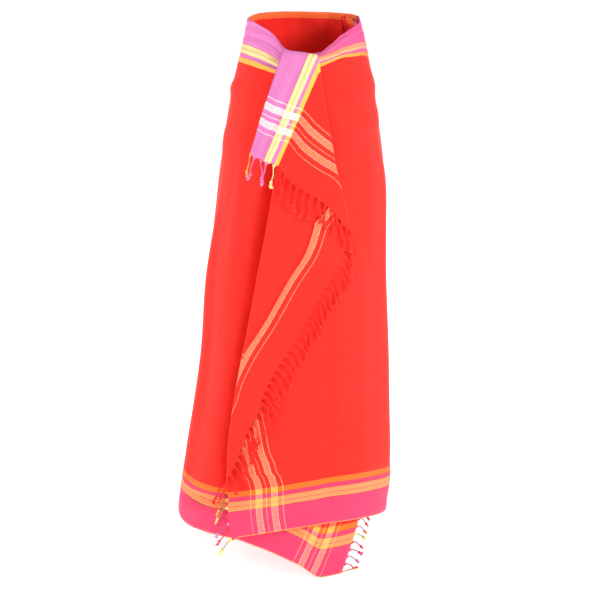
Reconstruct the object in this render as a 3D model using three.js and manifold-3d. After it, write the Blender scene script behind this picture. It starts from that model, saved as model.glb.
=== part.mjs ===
// A kikoy: one rectangle of striped cotton with knotted fringes on both short ends, wrapped
// and tied as a long skirt. Millimetres, +Z up, the front towards -Y, standing on its hem.
//
// The cloth runs once round the body and overlaps at the front. Its inner end lies behind the
// front right. Its outer end is turned back along the left fold as a lapel, turned again along
// the right fold as the upper flap, and its top corner hangs over the waist as the tail.
//
// A place on the cloth is given by "across", 0 at the hem and 1 at the top selvedge, and by
// where it lies on the wall: a turn in degrees (0 front, 90 viewer's left, 180 back, 270
// right), a height z, and a lift in mm off the wall.
import * as THREE from "three";
import { mergeVertices } from "three/addons/utils/BufferGeometryUtils.js";
import Module from "manifold-3d";

// Cloth
const THICKNESS = 2;
const BORDER_FROM = 0.905; // across, where the top border starts
const HEM_BULGE = 8; // rise of the front hem between its ends
const FRONT_TURN = 330; // the outer layer leaves the plain round here
// Layers at the front, lift off the wall of their middle surfaces
const INNER_RECESS = { hem: 20, waist: 8 };
const RECESS_ENDS = { from: 45, to: 95 }; // turns between which the inner layer comes out
const LAPEL_LIFT = 6;
const FLAP_LIFT = 13;
const KNOT_LIFT = { behind: 6, front: 17 };
// Lengthwise waves where the top border is bunched into the knot and hangs as the tail
const BUNCH = { waves: 2, band: 2.2, knot: 0.8, tail: 4.5, from: 285, to: 335 };
const FLUTE = { depth: 3, lobes: 7, from: 110, to: 255 }; // soft flutes at the back hem
// Fringe
const GAP = 0.3; // between the cloth's edge and the fringe's strip
const STRIP_WIDTH = 4;
const KNOT_PITCH = 16.5;
const STRAND = [
  { along: 0, radius: 1.5 },
  { along: 15, radius: 1.4 },
  { along: 30, radius: 3.2 },
  { along: 46, radius: 2.1 },
];
const FLOOR_CLEARANCE = 0.3;
// Mesh
const RING_STEPS = 38;
const FRONT_STEPS = 8;
const FOLD_STEPS = 4;
const LAPEL_STEPS = 4;
const FLAP_STEPS = 6;
const ROWS = [
  0, 0.03, 0.06, 0.095, 0.103, 0.11, 0.118, 0.125, 0.14, 0.16, 0.22, 0.29, 0.36, 0.43, 0.5,
  0.57, 0.64, 0.69, 0.698, 0.705, 0.712, 0.72, 0.76, 0.8, 0.84, 0.87, 0.89, 0.905, 0.917, 0.929,
  0.941, 0.953, 0.965, 0.977, 0.989, 1,
];

// The wall's level sections: an oval of half width and half depth about centreX.
const SECTIONS = table(["z", "centreX", "halfWidth", "halfDepth"], [
  [0, -42, 226, 190],
  [110, -37, 224, 187],
  [230, -25, 218, 181],
  [330, -18, 208, 175],
  [460, -10, 197, 168],
  [590, -6, 189, 161],
  [720, 1, 178, 153],
  [830, 5, 169, 143],
  [930, 6, 156, 132],
  [1000, 6, 144, 120],
  [1060, 8, 132, 107],
  [1100, 9, 123, 97],
  [1150, 7, 111, 88],
]);

// Heights of the hem, of the top border's lower edge and of the waist edge, round the wall.
const HEM = table(["turn", "z"], [
  [-38, 0], [-25, 0], [-10, 34], [12, 70], [31, 84], [67, 82], [80, 88], [90, 98],
  [102, 70], [112, 36], [122, 10], [130, 0], [222, 0], [235, 42], [250, 76], [270, 104],
  [286, 108], [315, 122], [330, 126],
]);
const BORDER_EDGE = table(["turn", "z"], [
  [-130, 1068], [-38, 1050], [0, 1052], [27, 1059], [39, 1066], [54, 1071], [87, 1075],
  [180, 1078], [250, 1084], [272, 1089], [322, 1089], [330, 1088],
]);
const WAIST = table(["turn", "z"], [
  [-130, 1143], [-90, 1134], [-67, 1129], [-38, 1106], [-18, 1086], [0, 1080], [18, 1090],
  [32, 1116], [43, 1127], [57, 1135], [70, 1140], [92, 1141], [120, 1147], [148, 1149],
  [190, 1148], [240, 1147], [267, 1144], [293, 1134], [322, 1116], [330, 1106],
]);
// The inner end leans back as it rises, so that it lies inside the right of the waist.
const INNER_END = { hem: -38, waist: -130 };

// The left fold, seen from the front, and how far the cloth is folded there (1 is right back).
const LEFT_FOLD = table(["across", "x", "z", "folded"], [
  [0, -121, 98, 0], [0.06, -129, 157, 0], [0.095, -129, 192, 0], [0.11, -139, 206, 0.3],
  [0.125, -147, 221, 0.65], [0.16, -148, 254, 1], [0.22, -143, 314, 1], [0.35, -123, 441, 1],
  [0.45, -104, 540, 1],
  [0.55, -86, 640, 1], [0.64, -67, 735, 1], [0.69, -57, 790, 1], [0.76, -44, 868, 1],
  [0.8, -33, 912, 1], [0.84, -20, 960, 1], [0.87, -8, 995, 1], [0.89, 5, 1025, 1],
  [0.905, 24, 1052, 1], [0.953, -2, 1066, 1], [1, -28, 1078, 1],
]);
// The right fold of the upper flap, which turns into the roll over the waist above the border.
const RIGHT_FOLD = table(["across", "x", "z", "folded"], [
  [0.69, 82, 724, 0], [0.705, 91, 742, 0.6], [0.72, 90, 764, 1], [0.76, 78, 822, 1],
  [0.8, 69, 860, 1],
  [0.84, 61, 910, 1], [0.87, 53, 952, 1], [0.89, 45, 1002, 1], [0.905, 38, 1050, 1],
  [0.925, 33, 1080, 1], [0.945, 17, 1084, 1], [0.965, 0, 1087, 1], [1, -31, 1090, 1],
]);
// The outer end, from the lower corner over the lapel's slant and the flap to the tail.
// Its edge curls out where a fold begins.
const OUTER_END = table(["across", "x", "z", "curl"], [
  [0, -140, 87, 0], [0.03, -145, 118, 0], [0.06, -148, 152, 0], [0.095, -148, 188, 0],
  [0.11, -150, 204, 4.8], [0.125, -145, 219, 7], [0.16, -133, 246, 0], [0.222, -110, 310, 0],
  [0.289, -81, 373, 0], [0.33, -65, 411, 0], [0.377, -32, 446, 0], [0.471, 10, 525, 0], [0.573, 50, 615, 0],
  [0.638, 76, 670, 0], [0.69, 90, 718, 0], [0.705, 93, 736, 6], [0.72, 83, 744, 0],
  [0.745, 70, 765, 0], [0.79, 40, 798, 0], [0.842, 0, 824, 0], [0.882, -28, 847, 0],
  [0.905, -40, 867, 0], [0.95, -68, 876, 0], [1, -95, 887, 0],
]);
// Where the strands of each end hang to, by their place across the cloth.
const OUTER_HANG = table(["across", "side"], [
  [0, 0.55], [0.08, 0.4], [0.14, 0], [0.2, -0.35], [0.66, -0.3], [0.72, -0.05], [0.9, 0],
  [1, 0.12],
]);
const INNER_HANG = table(["across", "side"], [[0, -0.9], [0.05, -0.75], [0.12, -0.4], [1, 0]]);

function table(columns, rows) {
  return rows.map((row) => Object.fromEntries(columns.map((name, i) => [name, row[i]])));
}

// Reads a column of a table at a key, on smooth curves that never overshoot their rows.
function read(rows, keyName, key, column) {
  const last = rows.length - 1;
  if (key <= rows[0][keyName]) return rows[0][column];
  if (key >= rows[last][keyName]) return rows[last][column];
  let i = 0;
  while (rows[i + 1][keyName] < key) i++;
  const slope = (j) =>
    j < 0 || j >= last
      ? 0
      : (rows[j + 1][column] - rows[j][column]) / (rows[j + 1][keyName] - rows[j][keyName]);
  const tangent = (j) => {
    const before = slope(j - 1),
      after = slope(j);
    if (j === 0) return after;
    if (j === last) return before;
    return before * after <= 0 ? 0 : (2 * before * after) / (before + after);
  };
  const step = rows[i + 1][keyName] - rows[i][keyName];
  const t = (key - rows[i][keyName]) / step;
  return (
    rows[i][column] * (1 + 2 * t) * (1 - t) ** 2 +
    rows[i + 1][column] * t * t * (3 - 2 * t) +
    step * t * (1 - t) * (tangent(i) * (1 - t) - tangent(i + 1) * t)
  );
}

const mix = THREE.MathUtils.lerp;
const ease = (x, from, to) => THREE.MathUtils.smoothstep(x, from, to);
const rad = THREE.MathUtils.degToRad;

function section(z) {
  const at = (column) => read(SECTIONS, "z", z, column);
  return { centre: at("centreX"), width: at("halfWidth"), depth: at("halfDepth") };
}

// The point at a turn and height, lifted off the wall along the oval's normal.
function wall({ turn, z, lift }) {
  const { centre, width, depth } = section(z);
  const sin = Math.sin(rad(turn)),
    cos = Math.cos(rad(turn));
  const length = Math.hypot(sin / width, cos / depth);
  return new THREE.Vector3(
    centre - width * sin - (lift * sin) / width / length,
    -depth * cos - (lift * cos) / depth / length,
    z,
  );
}

// The turn of a place on the front of the wall that is seen at x, and mm for each degree there.
function turnAt(x, z) {
  const { centre, width } = section(z);
  return (-Math.asin(THREE.MathUtils.clamp((x - centre) / width, -1, 1)) * 180) / Math.PI;
}
function mmPerDegree({ turn, z }) {
  const { width, depth } = section(z);
  return rad(Math.hypot(width * Math.cos(rad(turn)), depth * Math.sin(rad(turn))));
}

// The plain round: the height of a place across the cloth at a turn, and its lift.
function ringHeight(across, turn) {
  const edge = read(BORDER_EDGE, "turn", turn, "z");
  return across < BORDER_FROM
    ? mix(read(HEM, "turn", turn, "z"), edge, across / BORDER_FROM)
    : mix(edge, read(WAIST, "turn", turn, "z"), (across - BORDER_FROM) / (1 - BORDER_FROM));
}
function ringLift(across, turn) {
  const recess = mix(INNER_RECESS.hem, INNER_RECESS.waist, across);
  const inner = -recess * (1 - ease(turn, RECESS_ENDS.from, RECESS_ENDS.to));
  const f = THREE.MathUtils.clamp((turn - FLUTE.from) / (FLUTE.to - FLUTE.from), 0, 1);
  const flute = FLUTE.depth * Math.sin(Math.PI * f) * Math.sin(Math.PI * FLUTE.lobes * f);
  return inner + flute * (1 - across) ** 2;
}

// How far the bunched border stands off its middle, as a share of its waves' height.
function wave(across) {
  const w = Math.max(0, (across - BORDER_FROM) / (1 - BORDER_FROM));
  return Math.sin(2 * Math.PI * BUNCH.waves * w);
}

// The columns round a fold, in the front view: P is its outermost point, "out" the way that it
// bulges, and "rise" the lift that it gains when it turns right back. One that only begins to
// fold turns by less, and one that isn't folded is "flat" long.
function fold(P, out, radius, folded, flat, from, rise) {
  const places = [];
  for (let k = 0; k <= FOLD_STEPS; k++) {
    const angle = (Math.PI * folded * k) / FOLD_STEPS;
    const back = radius * (Math.sin(angle) - folded) + ((flat * k) / FOLD_STEPS) * (1 - folded);
    places.push({
      x: P.x + out.x * back,
      z: P.y + out.y * back,
      lift: from + (rise * (1 - Math.cos(angle))) / 2,
    });
  }
  return places;
}

// The outer end of one row: the left fold, the lapel, the right fold and the flap.
function flapRow(across) {
  const at = (rows, column) => read(rows, "across", across, column);
  const end = new THREE.Vector2(at(OUTER_END, "x"), at(OUTER_END, "z"));
  const left = new THREE.Vector2(at(LEFT_FOLD, "x"), at(LEFT_FOLD, "z"));
  const right = new THREE.Vector2(at(RIGHT_FOLD, "x"), at(RIGHT_FOLD, "z"));
  const single = across <= RIGHT_FOLD[0].across; // the lapel runs straight to the end
  if (single) right.copy(end);
  const leftFolded = at(LEFT_FOLD, "folded"),
    rightFolded = at(RIGHT_FOLD, "folded");
  const into = new THREE.Vector2(-0.97, across > BORDER_FROM ? -0.3 : -0.12).normalize();
  const onLapel = right.clone().sub(left).normalize();
  const onFlap = end.clone().sub(right).normalize();
  const bulge = (before, after, folded) =>
    before.clone().addScaledVector(after, -(folded ** 2)).normalize();
  const inKnot = ease(across, 0.87, 0.93);
  const lapelLift = mix(LAPEL_LIFT, KNOT_LIFT.behind, inKnot);
  const flapRise = mix(FLAP_LIFT, KNOT_LIFT.front, inKnot) - lapelLift;
  const bunched = BUNCH.knot * wave(across);
  const atLeft = fold(left, bulge(into, onLapel, leftFolded), LAPEL_LIFT / 2, leftFolded, 3,
    bunched, lapelLift);
  const part = (a, b, f) => ({
    x: mix(a.x, b.x, f),
    z: mix(a.z, b.z, f),
    lift: mix(a.lift, b.lift, f),
  });
  const between = (a, b, steps) =>
    Array.from({ length: steps - 1 }, (_, i) => part(a, b, (i + 1) / steps));
  const tip = { x: end.x, z: end.y, lift: atLeft.at(-1).lift + at(OUTER_END, "curl") };
  if (single) {
    const from = atLeft.at(-1);
    const share = Math.max(0.4, 1 - 12 / Math.hypot(tip.x - from.x, tip.z - from.z));
    const near = part(from, tip, share);
    return [
      ...atLeft,
      ...between(from, near, LAPEL_STEPS),
      near,
      ...between(near, tip, FOLD_STEPS + FLAP_STEPS),
      tip,
    ];
  }
  const atRight = fold(right, bulge(onLapel, onFlap, rightFolded), flapRise / 2, rightFolded, 2,
    atLeft.at(-1).lift, flapRise);
  tip.lift = mix(atRight.at(-1).lift, FLAP_LIFT, inKnot) + at(OUTER_END, "curl");
  tip.lift += BUNCH.tail * wave(across);
  return [
    ...atLeft,
    ...between(atLeft.at(-1), atRight[0], LAPEL_STEPS),
    ...atRight,
    ...between(atRight.at(-1), tip, FLAP_STEPS),
    tip,
  ];
}

// One row of the cloth, from its inner end to its outer end, as places on the wall.
function clothRow(across) {
  const places = [];
  const leaned = 1.5 * across - 0.5 * across ** 2;
  const start = mix(INNER_END.hem, INNER_END.waist, leaned);
  for (let i = 0; i <= RING_STEPS; i++) {
    const turn = mix(start, FRONT_TURN, i / RING_STEPS);
    const bunched = BUNCH.band * wave(across) * ease(turn, BUNCH.from, BUNCH.to);
    places.push({ turn, z: ringHeight(across, turn), lift: ringLift(across, turn) + bunched });
  }
  const flap = flapRow(across).map(({ x, z, lift }) => ({ turn: 360 + turnAt(x, z), z, lift }));
  const from = places.at(-1),
    to = flap[0];
  for (let i = 1; i < FRONT_STEPS; i++) {
    const f = i / FRONT_STEPS;
    places.push({
      turn: mix(from.turn, to.turn, f),
      z: mix(from.z, to.z, f) + HEM_BULGE * Math.sin(Math.PI * f) * (1 - across) ** 2,
      lift: mix(from.lift, to.lift, f),
    });
  }
  return [...places, ...flap];
}

// Middle surface and its unit normals. The hem's normals are level, so that it stands flat.
const places = ROWS.map(clothRow);
const middle = places.map((row) => row.map(wall));
const normals = middle.map((row, i) =>
  row.map((_, j) => {
    const a = middle[Math.max(i - 1, 0)][j],
      b = middle[Math.min(i + 1, middle.length - 1)][j];
    const c = row[Math.max(j - 1, 0)],
      d = row[Math.min(j + 1, row.length - 1)];
    const n = d.clone().sub(c).cross(b.clone().sub(a));
    if (i === 0) n.z = 0;
    return n.normalize().negate();
  }),
);

const wasm = await Module();
wasm.setup();

// A closed geometry from a grid of rings: each ring closes on itself, and the ends are capped.
function tubeGeometry(rings) {
  const sides = rings[0].length,
    index = [];
  for (let i = 0; i + 1 < rings.length; i++)
    for (let k = 0; k < sides; k++) {
      const a = i * sides + k,
        b = i * sides + ((k + 1) % sides);
      index.push(a, b, b + sides, a, b + sides, a + sides);
    }
  for (let k = 1; k + 1 < sides; k++) {
    const end = (rings.length - 1) * sides;
    index.push(0, k + 1, k, end, end + k, end + k + 1);
  }
  const g = new THREE.BufferGeometry().setFromPoints(rings.flat());
  g.setIndex(index);
  return g;
}

// The cloth's solid: the middle surface thickened to both sides, closed round its four edges.
function clothGeometry() {
  const rows = middle.length,
    columns = middle[0].length;
  const side = (way) =>
    middle.map((row, i) =>
      row.map((p, j) => p.clone().addScaledVector(normals[i][j], (way * THICKNESS) / 2)),
    );
  const points = [...side(1).flat(), ...side(-1).flat()];
  const outer = (i, j) => i * columns + j;
  const inner = (i, j) => rows * columns + i * columns + j;
  const index = [];
  const quad = (a, b, c, d) => index.push(a, b, c, a, c, d);
  for (let i = 0; i + 1 < rows; i++)
    for (let j = 0; j + 1 < columns; j++) {
      quad(outer(i, j), outer(i + 1, j), outer(i + 1, j + 1), outer(i, j + 1));
      quad(inner(i, j), inner(i, j + 1), inner(i + 1, j + 1), inner(i + 1, j));
    }
  for (let j = 0; j + 1 < columns; j++) {
    quad(outer(0, j), outer(0, j + 1), inner(0, j + 1), inner(0, j));
    quad(outer(rows - 1, j), inner(rows - 1, j), inner(rows - 1, j + 1), outer(rows - 1, j + 1));
  }
  for (let i = 0; i + 1 < rows; i++) {
    quad(outer(i, 0), inner(i, 0), inner(i + 1, 0), outer(i + 1, 0));
    const j = columns - 1;
    quad(outer(i, j), outer(i + 1, j), inner(i + 1, j), inner(i, j));
  }
  const g = new THREE.BufferGeometry().setFromPoints(points);
  g.setIndex(index);
  return g;
}

function solid(geometry) {
  const merged = mergeVertices(geometry, 1e-4);
  return new wasm.Manifold(
    new wasm.Mesh({
      numProp: 3,
      vertProperties: merged.attributes.position.array,
      triVerts: new Uint32Array(merged.index.array),
    }),
  );
}

// Joins closed geometries into one.
function joined(geometries) {
  const mesh = geometries.map(solid).reduce((all, one) => all.add(one)).getMesh();
  const g = new THREE.BufferGeometry();
  g.setAttribute("position", new THREE.BufferAttribute(mesh.vertProperties, 3));
  g.setIndex(new THREE.BufferAttribute(mesh.triVerts, 1));
  return g;
}

// One knotted strand: it leaves the strip along the cloth, turns down and, at the floor, lies
// level on it. Its path is worked out on the wall, and its sections have three sides.
function strand(root, out, side) {
  const path = [];
  let here = { ...root },
    before = 0;
  for (const { along, radius } of STRAND) {
    const length = along - before;
    const down = ease(along, 0, 24);
    const s = mix(out.s, side, down),
      z = mix(out.z, -1, down),
      off = mix(out.lift, 0.03, down);
    const size = Math.hypot(s, z, off);
    const floor = radius + FLOOR_CLEARANCE;
    const rise = (length * off) / size;
    const drop = Math.max(here.z + (length * z) / size, floor) - here.z;
    const level = Math.sqrt(Math.max(length ** 2 - drop ** 2 - rise ** 2, 0)) * Math.sign(s);
    here = {
      turn: here.turn + level / mmPerDegree(here),
      z: here.z + drop,
      lift: here.lift + rise,
    };
    path.push({ at: wall(here), radius });
    before = along;
  }
  const rings = path.map(({ at, radius }, i) => {
    const from = path[Math.max(i - 1, 0)].at,
      to = path[Math.min(i + 1, path.length - 1)].at;
    const way = to.clone().sub(from).normalize();
    const one = new THREE.Vector3(0, 1, 0.2).cross(way).normalize();
    const two = way.clone().cross(one);
    return [0, 1, 2].map((k) =>
      at
        .clone()
        .addScaledVector(one, radius * Math.cos((2 * Math.PI * k) / 3))
        .addScaledVector(two, radius * Math.sin((2 * Math.PI * k) / 3)),
    );
  });
  return tubeGeometry(rings);
}

// The fringe of one end: a narrow strip along the edge of the cloth, with its strands.
function fringe(column, inwards, hang) {
  const edge = ROWS.map((across, i) => {
    const at = middle[i][column],
      next = middle[i][column + inwards];
    return { across, at, out: at.clone().sub(next).normalize(), normal: normals[i][column] };
  });
  const rings = edge.map(({ at, out, normal }) =>
    [[GAP, -1], [GAP, 1], [GAP + STRIP_WIDTH, 1], [GAP + STRIP_WIDTH, -1]].map(([far, way]) =>
      at
        .clone()
        .addScaledVector(out, far)
        .addScaledVector(normal, (way * THICKNESS) / 2),
    ),
  );
  if (rings[0].some((p) => p.z !== 0)) rings[0].forEach((p) => (p.z = Math.max(p.z, 0)));
  const lengths = [0];
  for (let i = 1; i < edge.length; i++)
    lengths.push(lengths[i - 1] + edge[i].at.distanceTo(edge[i - 1].at));
  const count = Math.round((lengths.at(-1) - 6) / KNOT_PITCH);
  const strands = [];
  for (let n = 0; n <= count; n++) {
    const far = 3 + ((lengths.at(-1) - 6) * n) / count;
    let i = 0;
    while (i + 2 < lengths.length && lengths[i + 1] < far) i++;
    const f = (far - lengths[i]) / (lengths[i + 1] - lengths[i]);
    const place = (j, k) => places[j][k];
    const here = {},
      next = {};
    for (const key of ["turn", "z", "lift"]) {
      here[key] = mix(place(i, column)[key], place(i + 1, column)[key], f);
      next[key] = mix(
        place(i, column + inwards)[key],
        place(i + 1, column + inwards)[key],
        f,
      );
    }
    const s = (here.turn - next.turn) * mmPerDegree(here),
      z = here.z - next.z,
      lift = here.lift - next.lift;
    const size = Math.hypot(s, z, lift);
    const out = { s: s / size, z: z / size, lift: lift / size };
    const start = GAP + STRIP_WIDTH - 1;
    const root = {
      turn: here.turn + (out.s * start) / mmPerDegree(here),
      z: here.z + out.z * start,
      lift: here.lift + out.lift * start,
    };
    const across = mix(edge[i].across, edge[i + 1].across, f);
    strands.push(strand(root, out, read(hang, "across", across, "side")));
  }
  if (inwards < 0) rings.forEach((ring) => ring.reverse());
  return joined([tubeGeometry(rings), ...strands]);
}

const cotton = (color) =>
  new THREE.MeshStandardMaterial({ color, roughness: 0.9, metalness: 0, side: THREE.FrontSide });

const kikoy = new THREE.Group();
function add(name, geometry, material) {
  const mesh = new THREE.Mesh(geometry, material);
  mesh.name = name;
  kikoy.add(mesh);
}
add("cloth", clothGeometry(), cotton(0xfa2a22));
add("outer_end_fringe", fringe(middle[0].length - 1, -1, OUTER_HANG), cotton(0xe8322c));
add("inner_end_fringe", fringe(0, 1, INNER_HANG), cotton(0xe8322c));

// The part's origin is under the middle of its outline, on the floor.
const box = new THREE.Box3().setFromObject(kikoy, true);
const centre = box.getCenter(new THREE.Vector3());
kikoy.position.set(-centre.x, -centre.y, -box.min.z);

export default kikoy;
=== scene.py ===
"""A kikoy wrapped and tied as a long skirt: its woven stripes, folds and knotted fringes.

The cloth is a fine sheet on the same wall and folds as its solid. A place on it is given by
"across", 0 at the hem and 1 at the top selvedge, and by where it lies on the wall: a turn in
degrees (0 front, 90 viewer's left, 180 back, 270 right), a height and a lift in millimetres.
"""

import logging
import math
from dataclasses import dataclass, field
from enum import Enum

import bmesh
import bpy
import numpy as np
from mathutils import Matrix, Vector

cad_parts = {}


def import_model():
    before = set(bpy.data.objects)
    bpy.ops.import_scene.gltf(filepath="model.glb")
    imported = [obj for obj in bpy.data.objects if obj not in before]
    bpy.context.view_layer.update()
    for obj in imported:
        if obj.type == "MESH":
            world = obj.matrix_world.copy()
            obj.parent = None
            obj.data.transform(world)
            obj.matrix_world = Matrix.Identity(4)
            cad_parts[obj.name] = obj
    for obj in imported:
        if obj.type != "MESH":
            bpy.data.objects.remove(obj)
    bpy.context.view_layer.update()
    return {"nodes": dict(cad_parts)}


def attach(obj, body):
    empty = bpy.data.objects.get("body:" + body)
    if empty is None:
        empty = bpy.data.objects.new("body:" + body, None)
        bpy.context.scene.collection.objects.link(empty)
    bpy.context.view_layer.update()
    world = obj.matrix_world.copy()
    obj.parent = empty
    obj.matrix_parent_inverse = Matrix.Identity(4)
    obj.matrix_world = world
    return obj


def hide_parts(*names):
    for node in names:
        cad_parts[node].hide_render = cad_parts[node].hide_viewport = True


LOG = logging.getLogger("kikoy")
MM = 0.001
Grid = np.ndarray
Place = tuple[Grid, Grid, Grid]


class Dye(Enum):
    """Yarn colours, as linear red, green and blue."""

    RED = (0.93, 0.023, 0.015)
    PINK = (0.88, 0.050, 0.135)
    LILAC = (0.70, 0.19, 0.46)
    ORANGE = (1.0, 0.155, 0.018)
    APRICOT = (0.97, 0.27, 0.10)
    YELLOW = (1.0, 0.48, 0.08)
    CREAM = (1.0, 0.70, 0.30)
    LIME = (0.70, 0.80, 0.16)
    # Plum is also the painted shade that the tassels' cords are mixed towards.
    PLUM = (0.20, 0.030, 0.050)
    WHITE = (1.0, 0.86, 0.80)

    @property
    def rgba(self) -> tuple[float, float, float, float]:
        """The colour with full alpha."""
        return (*self.value, 1.0)


@dataclass(frozen=True)
class SmoothTable:
    """Rows of named columns, read on curves that never overshoot their rows.

    Attributes:
        columns: The column names, the first being the key.
        rows: The rows, in rising order of the key.
    """

    columns: tuple[str, ...]
    rows: tuple[tuple[float, ...], ...]

    def at(self, column: str, keys: Grid) -> Grid:
        """Reads a column by cubic Hermite curves between neighbouring rows.

        The tangent at a row is the harmonic mean of the slopes on its two sides, or zero where
        they differ in sign, and the end rows take their one slope.

        Args:
            column: The name of the column.
            keys: The keys to read at, of any shape.

        Returns:
            The values, in the shape of keys.
        """
        table = np.asarray(self.rows, dtype=float)
        knots, values = table[:, 0], table[:, self.columns.index(column)]
        slope = np.diff(values) / np.diff(knots)
        product = slope[:-1] * slope[1:]
        total = np.where(product > 0, slope[:-1] + slope[1:], 1.0)
        inner = np.where(product > 0, 2 * product / total, 0.0)
        tangent = np.concatenate([slope[:1], inner, slope[-1:]])
        x = np.clip(keys, knots[0], knots[-1])
        i = np.clip(np.searchsorted(knots, x, side="right") - 1, 0, len(knots) - 2)
        step = knots[i + 1] - knots[i]
        t = (x - knots[i]) / step
        rise = values[i] * (1 + 2 * t) * (1 - t) ** 2 + values[i + 1] * t * t * (3 - 2 * t)
        return rise + step * t * (1 - t) * (tangent[i] * (1 - t) - tangent[i + 1] * t)


def mix(a: Grid | float, b: Grid | float, f: Grid | float) -> Grid | float:
    """Goes from a to b in a straight line as f goes from 0 to 1."""
    return a + (b - a) * f


def ease(x: Grid, start: float, end: float) -> Grid:
    """Rises smoothly from 0 at start to 1 at end."""
    t = np.clip((x - start) / (end - start), 0.0, 1.0)
    return t * t * (3 - 2 * t)


def bump(x: Grid, middle: float, width: float) -> Grid:
    """A bell of height 1 at middle, gone about two widths away: exp of minus the square."""
    return np.exp(-(((x - middle) / width) ** 2))


def unit(v: Grid) -> Grid:
    """Vectors along the last axis, made one long."""
    return v / np.maximum(np.linalg.norm(v, axis=-1, keepdims=True), 1e-9)


@dataclass(frozen=True)
class Wall:
    """The oval wall that the cloth lies on, in millimetres, and the edges drawn on it.

    Attributes:
        shift: Where the wall's own middle lies in the part's frame, in x and y.
        sections: The ovals by height: the centre in x, half the width and half the depth.
        hem: Height of the hem by turn.
        border_edge: Height of the lower edge of the bunched top border by turn.
        waist: Height of the waist by turn.
    """

    shift: tuple[float, float] = (34.026, -0.703)
    sections: SmoothTable = SmoothTable(
        ("z", "centre", "width", "depth"),
        (
            (0, -42, 226, 190), (110, -37, 224, 187), (230, -25, 218, 181), (330, -18, 208, 175),
            (460, -10, 197, 168), (590, -6, 189, 161), (720, 1, 178, 153), (830, 5, 169, 143),
            (930, 6, 156, 132), (1000, 6, 144, 120), (1060, 8, 132, 107), (1100, 9, 123, 97),
            (1150, 7, 111, 88),
        ),
    )
    hem: SmoothTable = SmoothTable(
        ("turn", "z"),
        (
            (-38, 0), (-25, 0), (-10, 34), (12, 70), (31, 84), (67, 82), (80, 88), (90, 98),
            (102, 70), (112, 36), (122, 10), (130, 0), (222, 0), (235, 42), (250, 76),
            (270, 104), (286, 108), (315, 122), (330, 126),
        ),
    )
    border_edge: SmoothTable = SmoothTable(
        ("turn", "z"),
        (
            (-130, 1052), (-38, 1036), (0, 1038), (27, 1043), (39, 1049), (54, 1054),
            (87, 1058), (180, 1062), (250, 1063), (272, 1065), (300, 1074), (322, 1074),
            (330, 1071),
        ),
    )
    waist: SmoothTable = SmoothTable(
        ("turn", "z"),
        (
            (-130, 1143), (-90, 1134), (-67, 1129), (-38, 1106), (-18, 1086), (0, 1080),
            (18, 1090), (32, 1116), (43, 1127), (57, 1135), (70, 1140), (92, 1141),
            (120, 1147), (148, 1149), (190, 1148), (240, 1147), (267, 1144), (293, 1134),
            (322, 1116), (330, 1106),
        ),
    )

    def point(self, turn: Grid, z: Grid, lift: Grid) -> Grid:
        """Points of the part's frame, in metres.

        A point stands on the oval x = centre - width sin(turn), y = -depth cos(turn) of its
        height, moved off it by its lift along the oval's outward normal.

        Args:
            turn: Turns in degrees.
            z: Heights in millimetres.
            lift: Lifts in millimetres.

        Returns:
            The points, with a last axis of three.
        """
        centre = self.sections.at("centre", z)
        width, depth = self.sections.at("width", z), self.sections.at("depth", z)
        sin, cos = np.sin(np.radians(turn)), np.cos(np.radians(turn))
        length = np.hypot(sin / width, cos / depth)
        x = centre - width * sin - lift * sin / width / length + self.shift[0]
        y = -depth * cos - lift * cos / depth / length + self.shift[1]
        return np.stack([x, y, z + np.zeros_like(x)], axis=-1) * MM

    def turn_at(self, x: Grid, z: Grid) -> Grid:
        """Turns of places on the front that are seen at x, from the oval's arcsine."""
        side = (x - self.sections.at("centre", z)) / self.sections.at("width", z)
        return -np.degrees(np.arcsin(np.clip(side, -1, 1)))

    def mm_per_degree(self, turn: Grid, z: Grid) -> Grid:
        """Length along the oval for one degree of turn."""
        width, depth = self.sections.at("width", z), self.sections.at("depth", z)
        return np.radians(np.hypot(width * np.cos(np.radians(turn)),
                                   depth * np.sin(np.radians(turn))))


@dataclass(frozen=True)
class Crease:
    """One soft fold on the wall, or a hollow: a bell across a slanting line and along it.

    Attributes:
        lift: Its height off the wall in millimetres, below 0 for a hollow.
        turn: Turn of its middle, in degrees.
        z: Height of its middle, in millimetres.
        climb: Millimetres that its line climbs for each degree of turn.
        wide: Width of its bell in turn, in degrees.
        tall: Width of its bell in height, in millimetres.
    """

    lift: float
    turn: float
    z: float
    climb: float
    wide: float
    tall: float

    def at(self, turn: Grid, z: Grid) -> Grid:
        """Its lift: a bell of the turn times a bell of the height over its line."""
        line = self.z + self.climb * (turn - self.turn)
        return self.lift * bump(turn, self.turn, self.wide) * bump(z, line, self.tall)


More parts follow.
